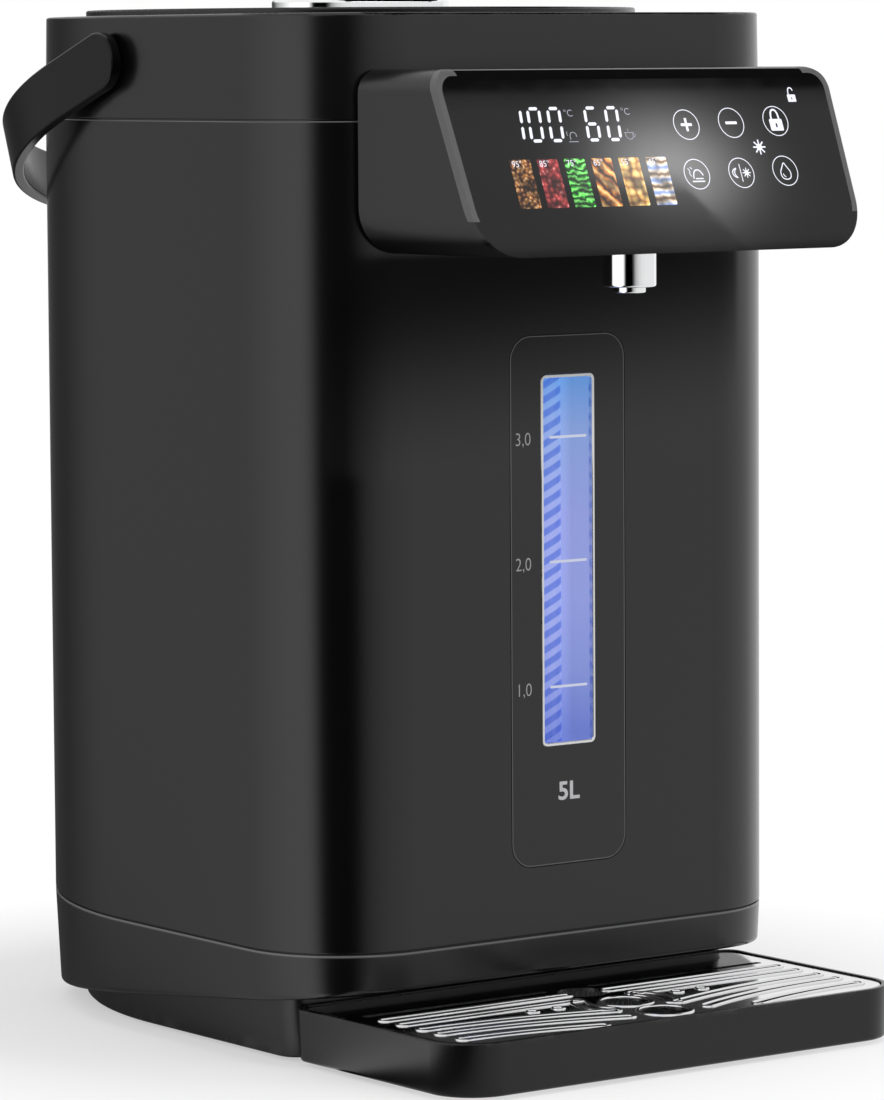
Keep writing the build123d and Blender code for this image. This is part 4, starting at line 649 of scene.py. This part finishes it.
left_of_drop = [(-1.0, 1.4), (-2.3, -0.4), (-2.0, -2.6)]
right_of_drop = [(2.0, -2.6), (2.3, -0.4), (1.0, 1.4)]
drop = [(0.0, 3.3), *left_of_drop, (0.0, -3.3), *right_of_drop]
marks = [
    *(flat_ring(key_r, line_w, at) for at in (more, less, lock, pour, night, rinse)),
    flat_bar(4.8, 1.0, more, corner=0.2, steps=2),
    flat_bar(1.0, 4.8, more, corner=0.2, steps=2),
    flat_bar(5.0, 1.0, less, corner=0.2, steps=2),
    *padlock((lock[0], lock[1] - 1.4), 5.6, 4.3, 3.6, False),
    *strokes(
        pour,
        (0.5, [(-2.6, -2.6), (2.8, -2.6)]),
        (0.5, [(-1.7, -1.6), (-1.4, 0.6), (0.0, 1.7), (1.9, 1.2), (2.6, -0.5)]),
        (0.45, [(-0.9, -1.6), (2.4, -1.6)]),
        (0.35, [(-3.4, 2.2), (-2.6, 1.2), (-3.2, 0.2), (-2.4, -0.8)]),
        (0.35, [(-2.3, 2.6), (-1.6, 1.8)]),
    ),
    *strokes(
        night,
        (0.45, [(-1.9, 1.7), (-3.8, 1.3), (-3.8, -1.3), (-1.9, -1.7)]),
        (0.4, [(-1.9, 1.7), (-2.9, 0.9), (-2.9, -0.9), (-1.9, -1.7)]),
    ),
    flat_bar(0.3, 6.4, (night[0] - 0.2, night[1])),
    *sun((night[0] + 2.3, night[1]), 0.8, 1.8, 0.35),
    flat_line(drop, 0.4, rinse, closed=True),
    *strokes(rinse, (0.35, [(-1.2, -1.0), (-1.0, -1.9), (-0.2, -2.2)])),
    *sun(sun_light, 1.1, 2.7, 0.55),
    *padlock(lock_light, 3.6, 2.7, 2.6, True),
]
lay(marks, "touch_key_marks", on_glass, white_light)
keyholes = [
    flat_bar(0.7, 1.5, (lock[0], lock[1] - 1.6), corner=0.2, steps=2),
    flat_bar(0.35, 0.9, (lock_light[0], lock_light[1] - 0.1)),
]
lay(keyholes, "lock_keyholes", on_glass @ raise_marks, dark_glass)

# Spout: a turned and chromed sleeve under the head, with a chromed nozzle standing out of it. Both
# have the lever's mirror finish.
dress(mirror_chrome, "spout_sleeve", "spout_nozzle")

# Water gauge: a smooth black plate on the front with a silver frame round a clear lens. Behind the
# lens a lit box holds a striped card and the sight tube that the water rises in.
plate_front = -0.12
on_plate = Matrix.Translation((0.0, plate_front, 0.0)) @ Matrix.Rotation(math.pi / 2, 4, "X") @ millimetres
dress(plastic("gauge_plate_plastic", deck_black, 0.19, 0.23, grain=1800.0), "window_plate")
dress(metal("silver_frame", (0.8, 0.8, 0.79, 1.0), 0.2, 0.34, (300.0, 300.0, 60.0)), "window_frame")

clear_lens, tree, shader = start_material("clear_lens")
smear = clouds(tree, own_place(tree), 60.0, 5.0, Distortion=1.0)[0]
finish = {
    "Base Color": mix(tree, smear, (0.95, 0.97, 1.0, 1.0), (0.99, 0.995, 1.0, 1.0)),
    "Roughness": carry_over(tree, smear, low=0.01, high=0.05),
    "Transmission Weight": 1.0,
    "IOR": 1.1,
}
set_sockets(tree, shader, finish)
dress(clear_lens, "window_lens")

window_foot, window_head = 0.1, 0.237
window_left, window_right = 0.006, 0.03
box_mouth_back, box_mouth_front = -0.1162, -0.1168
stripe_way = (0.8035, -0.5953, 0.0)
gauge_glow, given, result = start_effect(
    "gauge_glow", {"Pitch": 0.0051, "Slope": -0.6}, ["Height", "Across", "Stripe", "Inside"]
)
place = own_place(gauge_glow)
axes = split(gauge_glow, place)
wound = with_vectors(gauge_glow, "DOT_PRODUCT", place, stripe_way)["Value"]
slid = calculate(gauge_glow, "MULTIPLY_ADD", wound, given["Slope"], axes["Z"])
turns = calculate(gauge_glow, "DIVIDE", slid, given["Pitch"])
folded = calculate(gauge_glow, "PINGPONG", calculate(gauge_glow, "FRACT", turns), 0.5)
zones = {
    "Height": carry_over(gauge_glow, axes["Z"], window_foot, window_head),
    "Across": carry_over(gauge_glow, axes["X"], window_left, window_right),
    "Stripe": carry_over(gauge_glow, folded, 0.22, 0.28),
    "Inside": carry_over(gauge_glow, axes["Y"], box_mouth_front, box_mouth_back),
}
set_sockets(gauge_glow, result, zones)

height_colours = [
    (0.05, (0.16, 0.215, 0.62)),
    (0.2, (0.25, 0.305, 0.7)),
    (0.4, (0.31, 0.36, 0.76)),
    (0.6, (0.31, 0.36, 0.76)),
    (0.82, (0.26, 0.37, 0.72)),
    (0.96, (0.13, 0.31, 0.7)),
]
upright_bands = [(0.0, 0.96), (0.35, 0.92), (0.5, 0.76), (0.62, 0.76), (0.8, 0.98), (1.0, 1.0)]
white = (1.0, 1.0, 1.0, 1.0)
unlit = (0.0, 0.0, 0.0, 1.0)


def backlit(name, strength, tint=None):
    """A plastic face lit from behind, violet-blue below and clear blue above, in bands or, with a
    tint, in stripes."""
    material, tree, shader = start_material(name)
    glow = use_effect(tree, gauge_glow)
    light = ramp_of(tree, glow["Height"], height_colours)
    if tint:
        pattern = mix(tree, glow["Stripe"], white, tint)
    else:
        pattern = ramp_of(tree, glow["Across"], upright_bands)
    colour = mix(tree, 1.0, light, pattern, blend_type="MULTIPLY")
    finish = {
        "Emission Color": mix(tree, glow["Inside"], unlit, colour),
        "Emission Strength": strength,
        "Base Color": grey(0.03),
        "Roughness": carry_over(tree, glow["Height"], low=0.35, high=0.45),
    }
    set_sockets(tree, shader, finish)
    return material


dress(backlit("lit_box", 1.12), "light_box")
dress(backlit("lit_card", 1.12), "scale_card")
dress(backlit("lit_tube", 1.05, (0.36, 0.5, 0.85, 1.0)), "sight_tube")
dress(milky_silicone, "tube_cap")
dress(board_green, "backlight_board")

# Gauge marks: three ticks printed on the lens, their litres beside them, and the pot's volume on the
# plate. A thin lighter outline round the plate is a painted highlight along its edge.
litre_levels = {"1,0": 125.5, "2,0": 168.8, "3,0": 211.8}
lens_front = Matrix.Translation((0.0, 0.0003, 0.0))
tick_long, tick_t = 16.2, 0.9
ticks = [flat_bar(tick_long, tick_t, (0.3, level), corner=0.35, steps=2) for level in litre_levels.values()]
tick_ink = lit("tick_ink", (0.72, 0.76, 0.94, 1.0), 0.75, 0.05)
lay(ticks, "gauge_ticks", lens_front @ on_plate, tick_ink)
number_size, number_left, number_drop = 6.4, -22.9, 2.3
numbers = [
    letters(words, number_size, (number_left, level - number_drop), weight=-0.08, narrow=0.9)
    for words, level in litre_levels.items()
]
printed_grey = plastic("printed_grey", 0.36, 0.4, 0.5, grain=900.0)
lay(numbers, "gauge_numbers", on_plate, printed_grey)
volume = letters("5L", 8.8, (-4.9, 86.2), weight=0.2, narrow=1.08)
printed_white = plastic("printed_white", 0.56, 0.35, 0.45, grain=900.0)
lay([volume], "volume_print", on_plate, printed_white)
# Painted highlight: a thin ring of lighter grey round the plate, standing in for the light on its bevel.
outline_wide, outline_tall, outline_corner, outline_t, outline_middle = 49.5, 183.0, 8.4, 0.35, 155.35
start_plate(outline_wide, outline_tall, outline_corner, steps=10)
keep_rim(outline_t)
outline = close_flat((0.0, outline_middle))
painted_plate_highlight = plastic("plate_highlight", 0.1, 0.3, 0.4, grain=1800.0)
lay([outline], "plate_highlight_line", on_plate, painted_plate_highlight)

# Inner tank: drawn stainless steel with a silicone seal at its mouth, a strip heater and a heater
# plate under it, a thermostat and a fuse beside them, and a foil-faced felt wrap round it all.
dress(tank_steel, "inner_tank")
dress(milky_silicone, "mouth_seal", "gauge_hose", "riser_hose", "tank_outlet_hose")
dress(metal("heater_strip", (0.5, 0.47, 0.43, 1.0), 0.35, 0.5, (120.0, 120.0, 900.0)), "band_heater")
dress(metal("cast_heater", (0.6, 0.61, 0.62, 1.0), 0.4, 0.6, (700.0, 700.0, 700.0), 0.00002), "heater_plate")
dress(metal("thermostat_can", (0.66, 0.66, 0.67, 1.0), 0.25, 0.4, (900.0, 900.0, 900.0)), "water_thermostat")
dress(plastic("fuse_ceramic", 0.55, 0.5, 0.65, grain=800.0), "thermal_fuse")

foil_wrap, tree, shader = start_material("foil_wrap")
place = own_place(tree)
creases = add_node(tree, "TexVoronoi", {"Vector": place, "Scale": 70.0}, feature="DISTANCE_TO_EDGE").outputs
crumple = clouds(tree, place, 45.0, 5.0)[0]
finish = {
    "Base Color": mix(tree, crumple, (0.6, 0.61, 0.62, 1.0), (0.82, 0.83, 0.84, 1.0)),
    "Roughness": carry_over(tree, crumple, low=0.2, high=0.5),
    "Normal": relief(tree, 0.0006, creases["Distance"], strength=0.6),
    "Metallic": 1.0,
}
set_sockets(tree, shader, finish)
dress(foil_wrap, "insulation_wrap")

# Pump: a small motor in a steel can on a bent bracket turns a ring magnet, which drives the
# impeller through the wall of a white plastic housing.
dress(zinc_steel, "pump_motor", "motor_bracket", "motor_shaft")
dress(plastic("ferrite", 0.03, 0.5, 0.65, grain=1500.0), "drive_magnet")
dress(white_acetal, "pump_housing", "pump_cover", "pump_impeller")

# Power board: a green circuit board that switches the heaters and the pump. Its relay, capacitors
# and connectors are of dark plastic.
dress(board_green, "power_board")
dress(plastic("component_plastic", 0.03, 0.3, 0.5, grain=1000.0), "board_parts")

# Drip tray: a black moulding that slides in under the spout, with a steel basin in it and a grille
# of polished steel on the basin. The tray's front edge is touched whenever it is drawn out.
tray_rim = {"Level": 0.0195, "Reach": 0.0015}
dress(plastic("tray_plastic", deck_black, 0.22, 0.28, rim=tray_rim, shine=0.4), "drip_tray")
dress(metal("basin_steel", (0.55, 0.55, 0.55, 1.0), 0.2, 0.32, (900.0, 60.0, 60.0)), "drip_basin")
grille_steel = metal("grille_steel", (0.78, 0.78, 0.79, 1.0), 0.07, 0.13, (40.0, 700.0, 700.0), 0.000001)
dress(grille_steel, "drip_grille")

# Grille rims: the press has turned up the sheet into a low polished bead round the slots and holes
# in front of the body. Sizes are in millimetres from the middle of the body's front.
slot_half, slot_end = 1.6, 85.7
bead_half, bead_tall, bead_lap = 0.75, 0.7, 0.1
straight_rows = [(-9.0, 9.1), (-19.5, 12.1)]
swept_rows = [(-30.8, 14.0, -42.4), (-41.0, 17.3, -54.2), (-52.8, 34.0, -61.4)]
sweep_steps = 24
ring_slot_r, ring_slot_half, ring_bead_off = 16.0, 2.2, 0.6
hole_r = 8.75
hole_spots = [(0.0, -52.5), (0.0, -31.0)]
drain_spots = [(26.0, -27.0), (37.0, -27.0), (-26.0, -27.0), (-37.0, -27.0)]
drain_r, drain_bead_half = 1.75, 0.5
grille_top = 0.0192
on_grille = Matrix.Translation((0.0, plate_front, grille_top)) @ millimetres


def bead(points, half=bead_half):
    """A low bead along a closed line of points."""
    path = start_curve("POLY", points, half, 3, True)[0]
    bpy.ops.object.convert(target="MESH")
    path.data.transform(Matrix.Diagonal((1.0, 1.0, bead_tall / half, 1.0)))
    return path


def round_slot(middle, half):
    """The closed line at one distance from a slot's middle line, with round ends."""
    line = [Vector(point) for point in middle]
    last = len(line) - 1
    ways = [(line[min(k + 1, last)] - line[max(k - 1, 0)]).normalized() for k in range(last + 1)]
    left = [point + half * Vector((-way.y, way.x)) for point, way in zip(line, ways)]
    right = [point - half * Vector((-way.y, way.x)) for point, way in zip(line, ways)]
    turns = [Matrix.Rotation(math.radians(-22.5 * k), 2) for k in range(1, 8)]
    far = [line[-1] + turn @ (left[-1] - line[-1]) for turn in turns]
    near = [line[0] + turn @ (right[0] - line[0]) for turn in turns]
    return left + far + right[::-1] + near


middles = [[(inner, row), (slot_end, row)] for row, inner in straight_rows]
for outer, inner, low in swept_rows:
    run, fall = slot_end - inner, outer - low
    bend = (run * run + fall * fall) / (2.0 * fall)
    sweep = math.asin(run / bend)
    angles = [sweep * k / sweep_steps for k in range(sweep_steps, -1, -1)]
    middles.append(
        [(slot_end - bend * math.sin(angle), outer - bend * (1.0 - math.cos(angle))) for angle in angles]
    )
rims = [bead(round_slot(middle, slot_half + bead_half - bead_lap)) for middle in middles]
ring_slot = round_points(hole_spots[1], ring_slot_r, range(-35, 36, 5))
rims.append(bead(round_slot(ring_slot, ring_slot_half + ring_bead_off)))
for rim in list(rims):
    bpy.ops.object.select_all(action="DESELECT")
    rim.select_set(True)
    bpy.context.view_layer.objects.active = rim
    bpy.ops.object.duplicate()
    twin = bpy.context.object
    twin.data.transform(Matrix.Diagonal((-1.0, 1.0, 1.0, 1.0)))
    twin.data.flip_normals()
    rims.append(twin)
circle_turns = [7.5 * k for k in range(48)]
for spots, hole, half in ((hole_spots, hole_r, bead_half), (drain_spots, drain_r, drain_bead_half)):
    for spot in spots:
        rims.append(bead(round_points(spot, hole + half - bead_lap, circle_turns), half))
for rim in rims:
    rim.data.shade_smooth()
lay(rims, "grille_rims", on_grille, grille_steel, "grille")

# Studio: a white surround and a plain white floor. Where they show in gloss, they are brighter in
# some directions than in others, as a room with lamps and dark walls is.
near_corner = (-0.09, -0.11, 0.0)
first_turn, last_turn = 60.0, 312.0
brightest = 2.0
low_rise, high_rise = 0.12, 0.3
turn_levels = [
    (60.0, 1.0),
    (66.0, 0.14),
    (78.0, 0.07),
    (90.0, 0.08),
    (100.0, 0.2),
    (108.0, 0.36),
    (118.0, 0.52),
    (130.0, 0.66),
    (142.0, 0.88),
    (156.0, 1.12),
    (174.0, 1.36),
    (196.0, 1.5),
    (203.0, 1.3),
    (208.5, 0.66),
    (214.0, 0.04),
    (218.0, 0.0),
    (243.0, 0.0),
    (249.0, 0.08),
    (258.0, 0.42),
    (270.0, 0.66),
    (284.0, 0.8),
    (306.0, 0.87),
]


def surround_level(tree, direction):
    """How bright the room is in gloss: by the turn of the direction low down, and plain white above."""
    back = split(tree, with_vectors(tree, "MULTIPLY", direction, (-1.0, -1.0, 1.0))[0])
    turn = calculate(tree, "ARCTAN2", back["Y"], back["X"])
    span = (math.radians(first_turn - 180.0), math.radians(last_turn - 180.0))
    wide = last_turn - first_turn
    stops = [((spot - first_turn) / wide, level / brightest) for spot, level in turn_levels]
    level = calculate(tree, "MULTIPLY", ramp_of(tree, carry_over(tree, turn, *span), stops), brightest)
    rise = split(tree, with_vectors(tree, "NORMALIZE", direction)[0])["Z"]
    return switch(tree, carry_over(tree, rise, low_rise, high_rise), level, 1.0)


white_room = bpy.data.worlds.new("white_room")
white_room.use_nodes = True
bpy.context.scene.world = white_room
tree = white_room.node_tree
ray = add_node(tree, "LightPath").outputs
outlook = add_node(tree, "TexCoord").outputs["Generated"]
strength = switch(tree, ray["Is Glossy Ray"], 0.55, surround_level(tree, outlook))
for seen_by in ("Is Camera Ray", "Is Transmission Ray"):
    strength = calculate(tree, "MAXIMUM", strength, ray[seen_by])
set_sockets(tree, tree.nodes["Background"], {"Color": white, "Strength": strength})

# Floor: it glows by itself away from the pot, and keeps the pot's shadow close to it.
floor_r, floor_drop = 12.0, 0.0001
shadow_from, shadow_to = 0.16, 0.27
floor_material, tree, shader = start_material("white_floor")
place = own_place(tree)
mottle = clouds(tree, place, 6.0, 3.0)[0]
finish = {
    "Base Color": mix(tree, mottle, (0.9, 0.9, 0.9, 1.0), (0.92, 0.92, 0.92, 1.0)),
    "Roughness": 0.8,
    "Specular IOR Level": 0.0,
}
set_sockets(tree, shader, finish)
ray = add_node(tree, "LightPath").outputs
from_corner = with_vectors(tree, "SUBTRACT", place, near_corner)[0]
glow_level = switch(tree, ray["Is Glossy Ray"], 1.0, surround_level(tree, from_corner))
bright = add_node(tree, "Emission", {"Color": white, "Strength": glow_level}).outputs[0]
away = with_vectors(tree, "LENGTH", place)["Value"]
fade = carry_over(tree, away, shadow_from, shadow_to, low=0.5)
fade = calculate(tree, "MULTIPLY", fade, ray["Is Camera Ray"])
for seen_by in ("Is Glossy Ray", "Is Transmission Ray"):
    fade = calculate(tree, "MAXIMUM", fade, ray[seen_by])
blend = add_node(tree, "MixShader", {0: fade, 1: shader.outputs[0], 2: bright}).outputs[0]
set_sockets(tree, tree.nodes["Material Output"], {"Surface": blend})
floor_middle = (0.0, 0.0, -floor_drop)
bpy.ops.mesh.primitive_circle_add(vertices=96, radius=floor_r, fill_type="NGON", location=floor_middle)
floor = bpy.context.object
floor.name = "floor"
floor.data.materials.append(floor_material)


# Black flag: part of a ball over the head, seen in the rolled upper edge of the glass.
def only_in_gloss(card, name):
    """Makes a studio card that only shows in reflections; its glow still needs a strength."""
    material, tree, shader = start_material(name)
    glow = add_node(tree, "Emission", {"Color": white, "Strength": 0.0})
    set_sockets(tree, tree.nodes["Material Output"], {"Surface": glow.outputs[0]})
    card.name = name
    card.data.materials.append(material)
    for ray in ("camera", "diffuse", "transmission", "shadow", "volume_scatter"):
        setattr(card, "visible_" + ray, False)
    return tree, glow


flag_r, flag_middle = 0.6, (0.0, -0.157, 0.335)
flag_start, flag_wide = 319.0, 95.0
flag_low, flag_high = 33.0, 75.0
bpy.ops.mesh.primitive_uv_sphere_add(segments=72, ring_count=36, radius=flag_r, location=flag_middle)
flag = bpy.context.object
bpy.ops.object.mode_set(mode="EDIT")
bpy.ops.mesh.select_mode(type="FACE")
bpy.ops.mesh.select_all(action="DESELECT")
bpy.ops.object.mode_set(mode="OBJECT")
for face in flag.data.polygons:
    spot = face.center
    turn = math.degrees(math.atan2(spot.y, spot.x))
    rise = math.degrees(math.atan2(spot.z, math.hypot(spot.x, spot.y)))
    face.select = not ((turn - flag_start) % 360 <= flag_wide and flag_low <= rise <= flag_high)
bpy.ops.object.mode_set(mode="EDIT")
bpy.ops.mesh.delete(type="FACE")
bpy.ops.object.mode_set(mode="OBJECT")
only_in_gloss(flag, "black_flag")

# Glass screen: a card in front of the glass and parallel to it, dark above and plain below, with the glow of
# a soft lamp painted on it and cut off along a straight edge; it shows only as a painted reflection in the
# glass. Its own units are the glass's.
eye = Vector((-1.1278, -1.5693, 0.34257))
screen_gap = 0.5
screen_middle, screen_size = (0.015, 0.1, 0.0), (0.29, 0.4, 1.0, 1.0)
lamp_x, lamp_y, lamp_reach_x, lamp_reach_y = 0.005, -0.0365, 0.0275, 0.018
screen_low, screen_high = -0.07, 0.0
cut_way, cut_start, cut_end = (0.764, 0.646, 0.0), -0.0208, -0.02
cut_low, cut_high = -0.044, -0.038
eye_foot = glass_frame.inverted() @ eye
spread = (eye_foot.z + screen_gap) / eye_foot.z
bpy.ops.mesh.primitive_plane_add(size=1.0)
screen = bpy.context.object
screen.data.transform(Matrix.Translation(screen_middle) @ Matrix.Diagonal(screen_size))
screen.matrix_world = (
    glass_frame
    @ Matrix.Translation((eye_foot.x * (1.0 - spread), eye_foot.y * (1.0 - spread), screen_gap))
    @ Matrix.Scale(spread, 4)
)
tree, glow = only_in_gloss(screen, "glass_screen")
place = own_place(tree)
axes = split(tree, place)
plain_levels = [(0.04, 0.15), (0.1, 0.6), (0.78, 0.6), (0.857, 0.45), (0.88, 0.3), (0.893, 0.02), (0.9, 0.0)]
plain = ramp_of(tree, carry_over(tree, axes["Y"], screen_low, screen_high), plain_levels)
off_x = calculate(tree, "MULTIPLY_ADD", axes["X"], 1.0 / lamp_reach_x, -lamp_x / lamp_reach_x)
off_y = calculate(tree, "MULTIPLY_ADD", axes["Y"], 1.0 / lamp_reach_y, -lamp_y / lamp_reach_y)
square = calculate(tree, "MULTIPLY_ADD", off_y, off_y, calculate(tree, "POWER", off_x, 2.0))
# The painted glow of a soft lamp, brightest at one spot on the card and fading round it.
painted_lamp_glow = calculate(tree, "POWER", 0.368, square)
beyond = with_vectors(tree, "DOT_PRODUCT", place, cut_way)["Value"]
over_edge = carry_over(tree, beyond, cut_start, cut_end)
above = carry_over(tree, axes["Y"], cut_low, cut_high)
let_by = carry_over(tree, calculate(tree, "MAXIMUM", over_edge, above), low=1.9, high=6.4)
set_sockets(tree, glow, {"Strength": calculate(tree, "MULTIPLY_ADD", painted_lamp_glow, let_by, plain)})

# Head curtain: a card just off the front, darker upwards, that only the wall behind it sees: it
# shades the wall under the head.
curtain_middle, curtain_size = (0.0, -0.14, 0.2375), (0.26, 0.075, 1.0, 1.0)
curtain_low, curtain_high = 0.206, 0.281
curtain_slope = -0.1
curtain_side, curtain_full = -0.105, -0.07
curtain_levels = [
    (0.0, 0.87),
    (0.093, 0.81),
    (0.2, 0.72),
    (0.307, 0.6),
    (0.413, 0.46),
    (0.52, 0.32),
    (0.627, 0.21),
    (0.68, 0.165),
    (0.787, 0.11),
    (1.0, 0.08),
]
bpy.ops.mesh.primitive_plane_add(size=1.0)
curtain = bpy.context.object
upright = Matrix.Rotation(math.pi / 2, 4, "X") @ Matrix.Diagonal(curtain_size)
curtain.data.transform(Matrix.Translation(curtain_middle) @ upright)
tree, glow = only_in_gloss(curtain, "head_curtain")
axes = split(tree, own_place(tree))
slid = calculate(tree, "MULTIPLY_ADD", axes["X"], curtain_slope, axes["Z"])
shade = ramp_of(tree, carry_over(tree, slid, curtain_low, curtain_high), curtain_levels)
side = carry_over(tree, axes["X"], curtain_side, curtain_full, low=0.1)
set_sockets(tree, glow, {"Strength": calculate(tree, "MULTIPLY", shade, side)})
unseen = add_node(tree, "BsdfTransparent").outputs[0]
behind = add_node(tree, "NewGeometry").outputs["Backfacing"]
one_sided = add_node(tree, "MixShader", {0: behind, 1: unseen, 2: glow.outputs[0]}).outputs[0]
set_sockets(tree, tree.nodes["Material Output"], {"Surface": one_sided})

# Lamps: soft square ones, overhead, at the left and at the right, all turned to the pot's middle.
lit_middle = Vector((0.0, 0.0, 0.15))
for name, place, size, power in (
    ("overhead_lamp", (0.3, -0.5, 2.2), 1.6, 16.0),
    ("left_lamp", (-2.0, -0.6, 1.4), 1.2, 9.0),
    ("right_lamp", (1.2, -2.0, 1.3), 1.2, 9.0),
):
    bpy.ops.object.light_add(type="AREA", location=place)
    lamp = bpy.context.object
    lamp.name = name
    lamp.data.size = size
    lamp.data.energy = power
    lamp.rotation_euler = (lit_middle - lamp.location).to_track_quat("-Z", "Y").to_euler()
    lamp.visible_glossy = False

# Camera: a long lens a little above the pot, in front of it and to its left.
heading, dip, roll = math.radians(36.533), math.radians(5.282), math.radians(-0.367)
look = Vector((math.sin(heading) * math.cos(dip), math.cos(heading) * math.cos(dip), -math.sin(dip)))
right = Vector((math.cos(heading), -math.sin(heading), 0.0))
up = right.cross(look)
camera_right = right * math.cos(roll) + up * math.sin(roll)
camera_up = up * math.cos(roll) - right * math.sin(roll)
turned = Matrix((camera_right, camera_up, -look)).transposed().to_4x4()
bpy.ops.object.camera_add()
camera = bpy.context.object
camera.matrix_world = Matrix.Translation(eye) @ turned
camera.data.sensor_fit = "VERTICAL"
camera.data.sensor_height = 36.0
camera.data.lens = 175.11
camera.data.clip_start = 0.05
camera.data.clip_end = 50.0
bpy.context.scene.camera = camera
bpy.context.scene.view_settings.view_transform = "Standard"
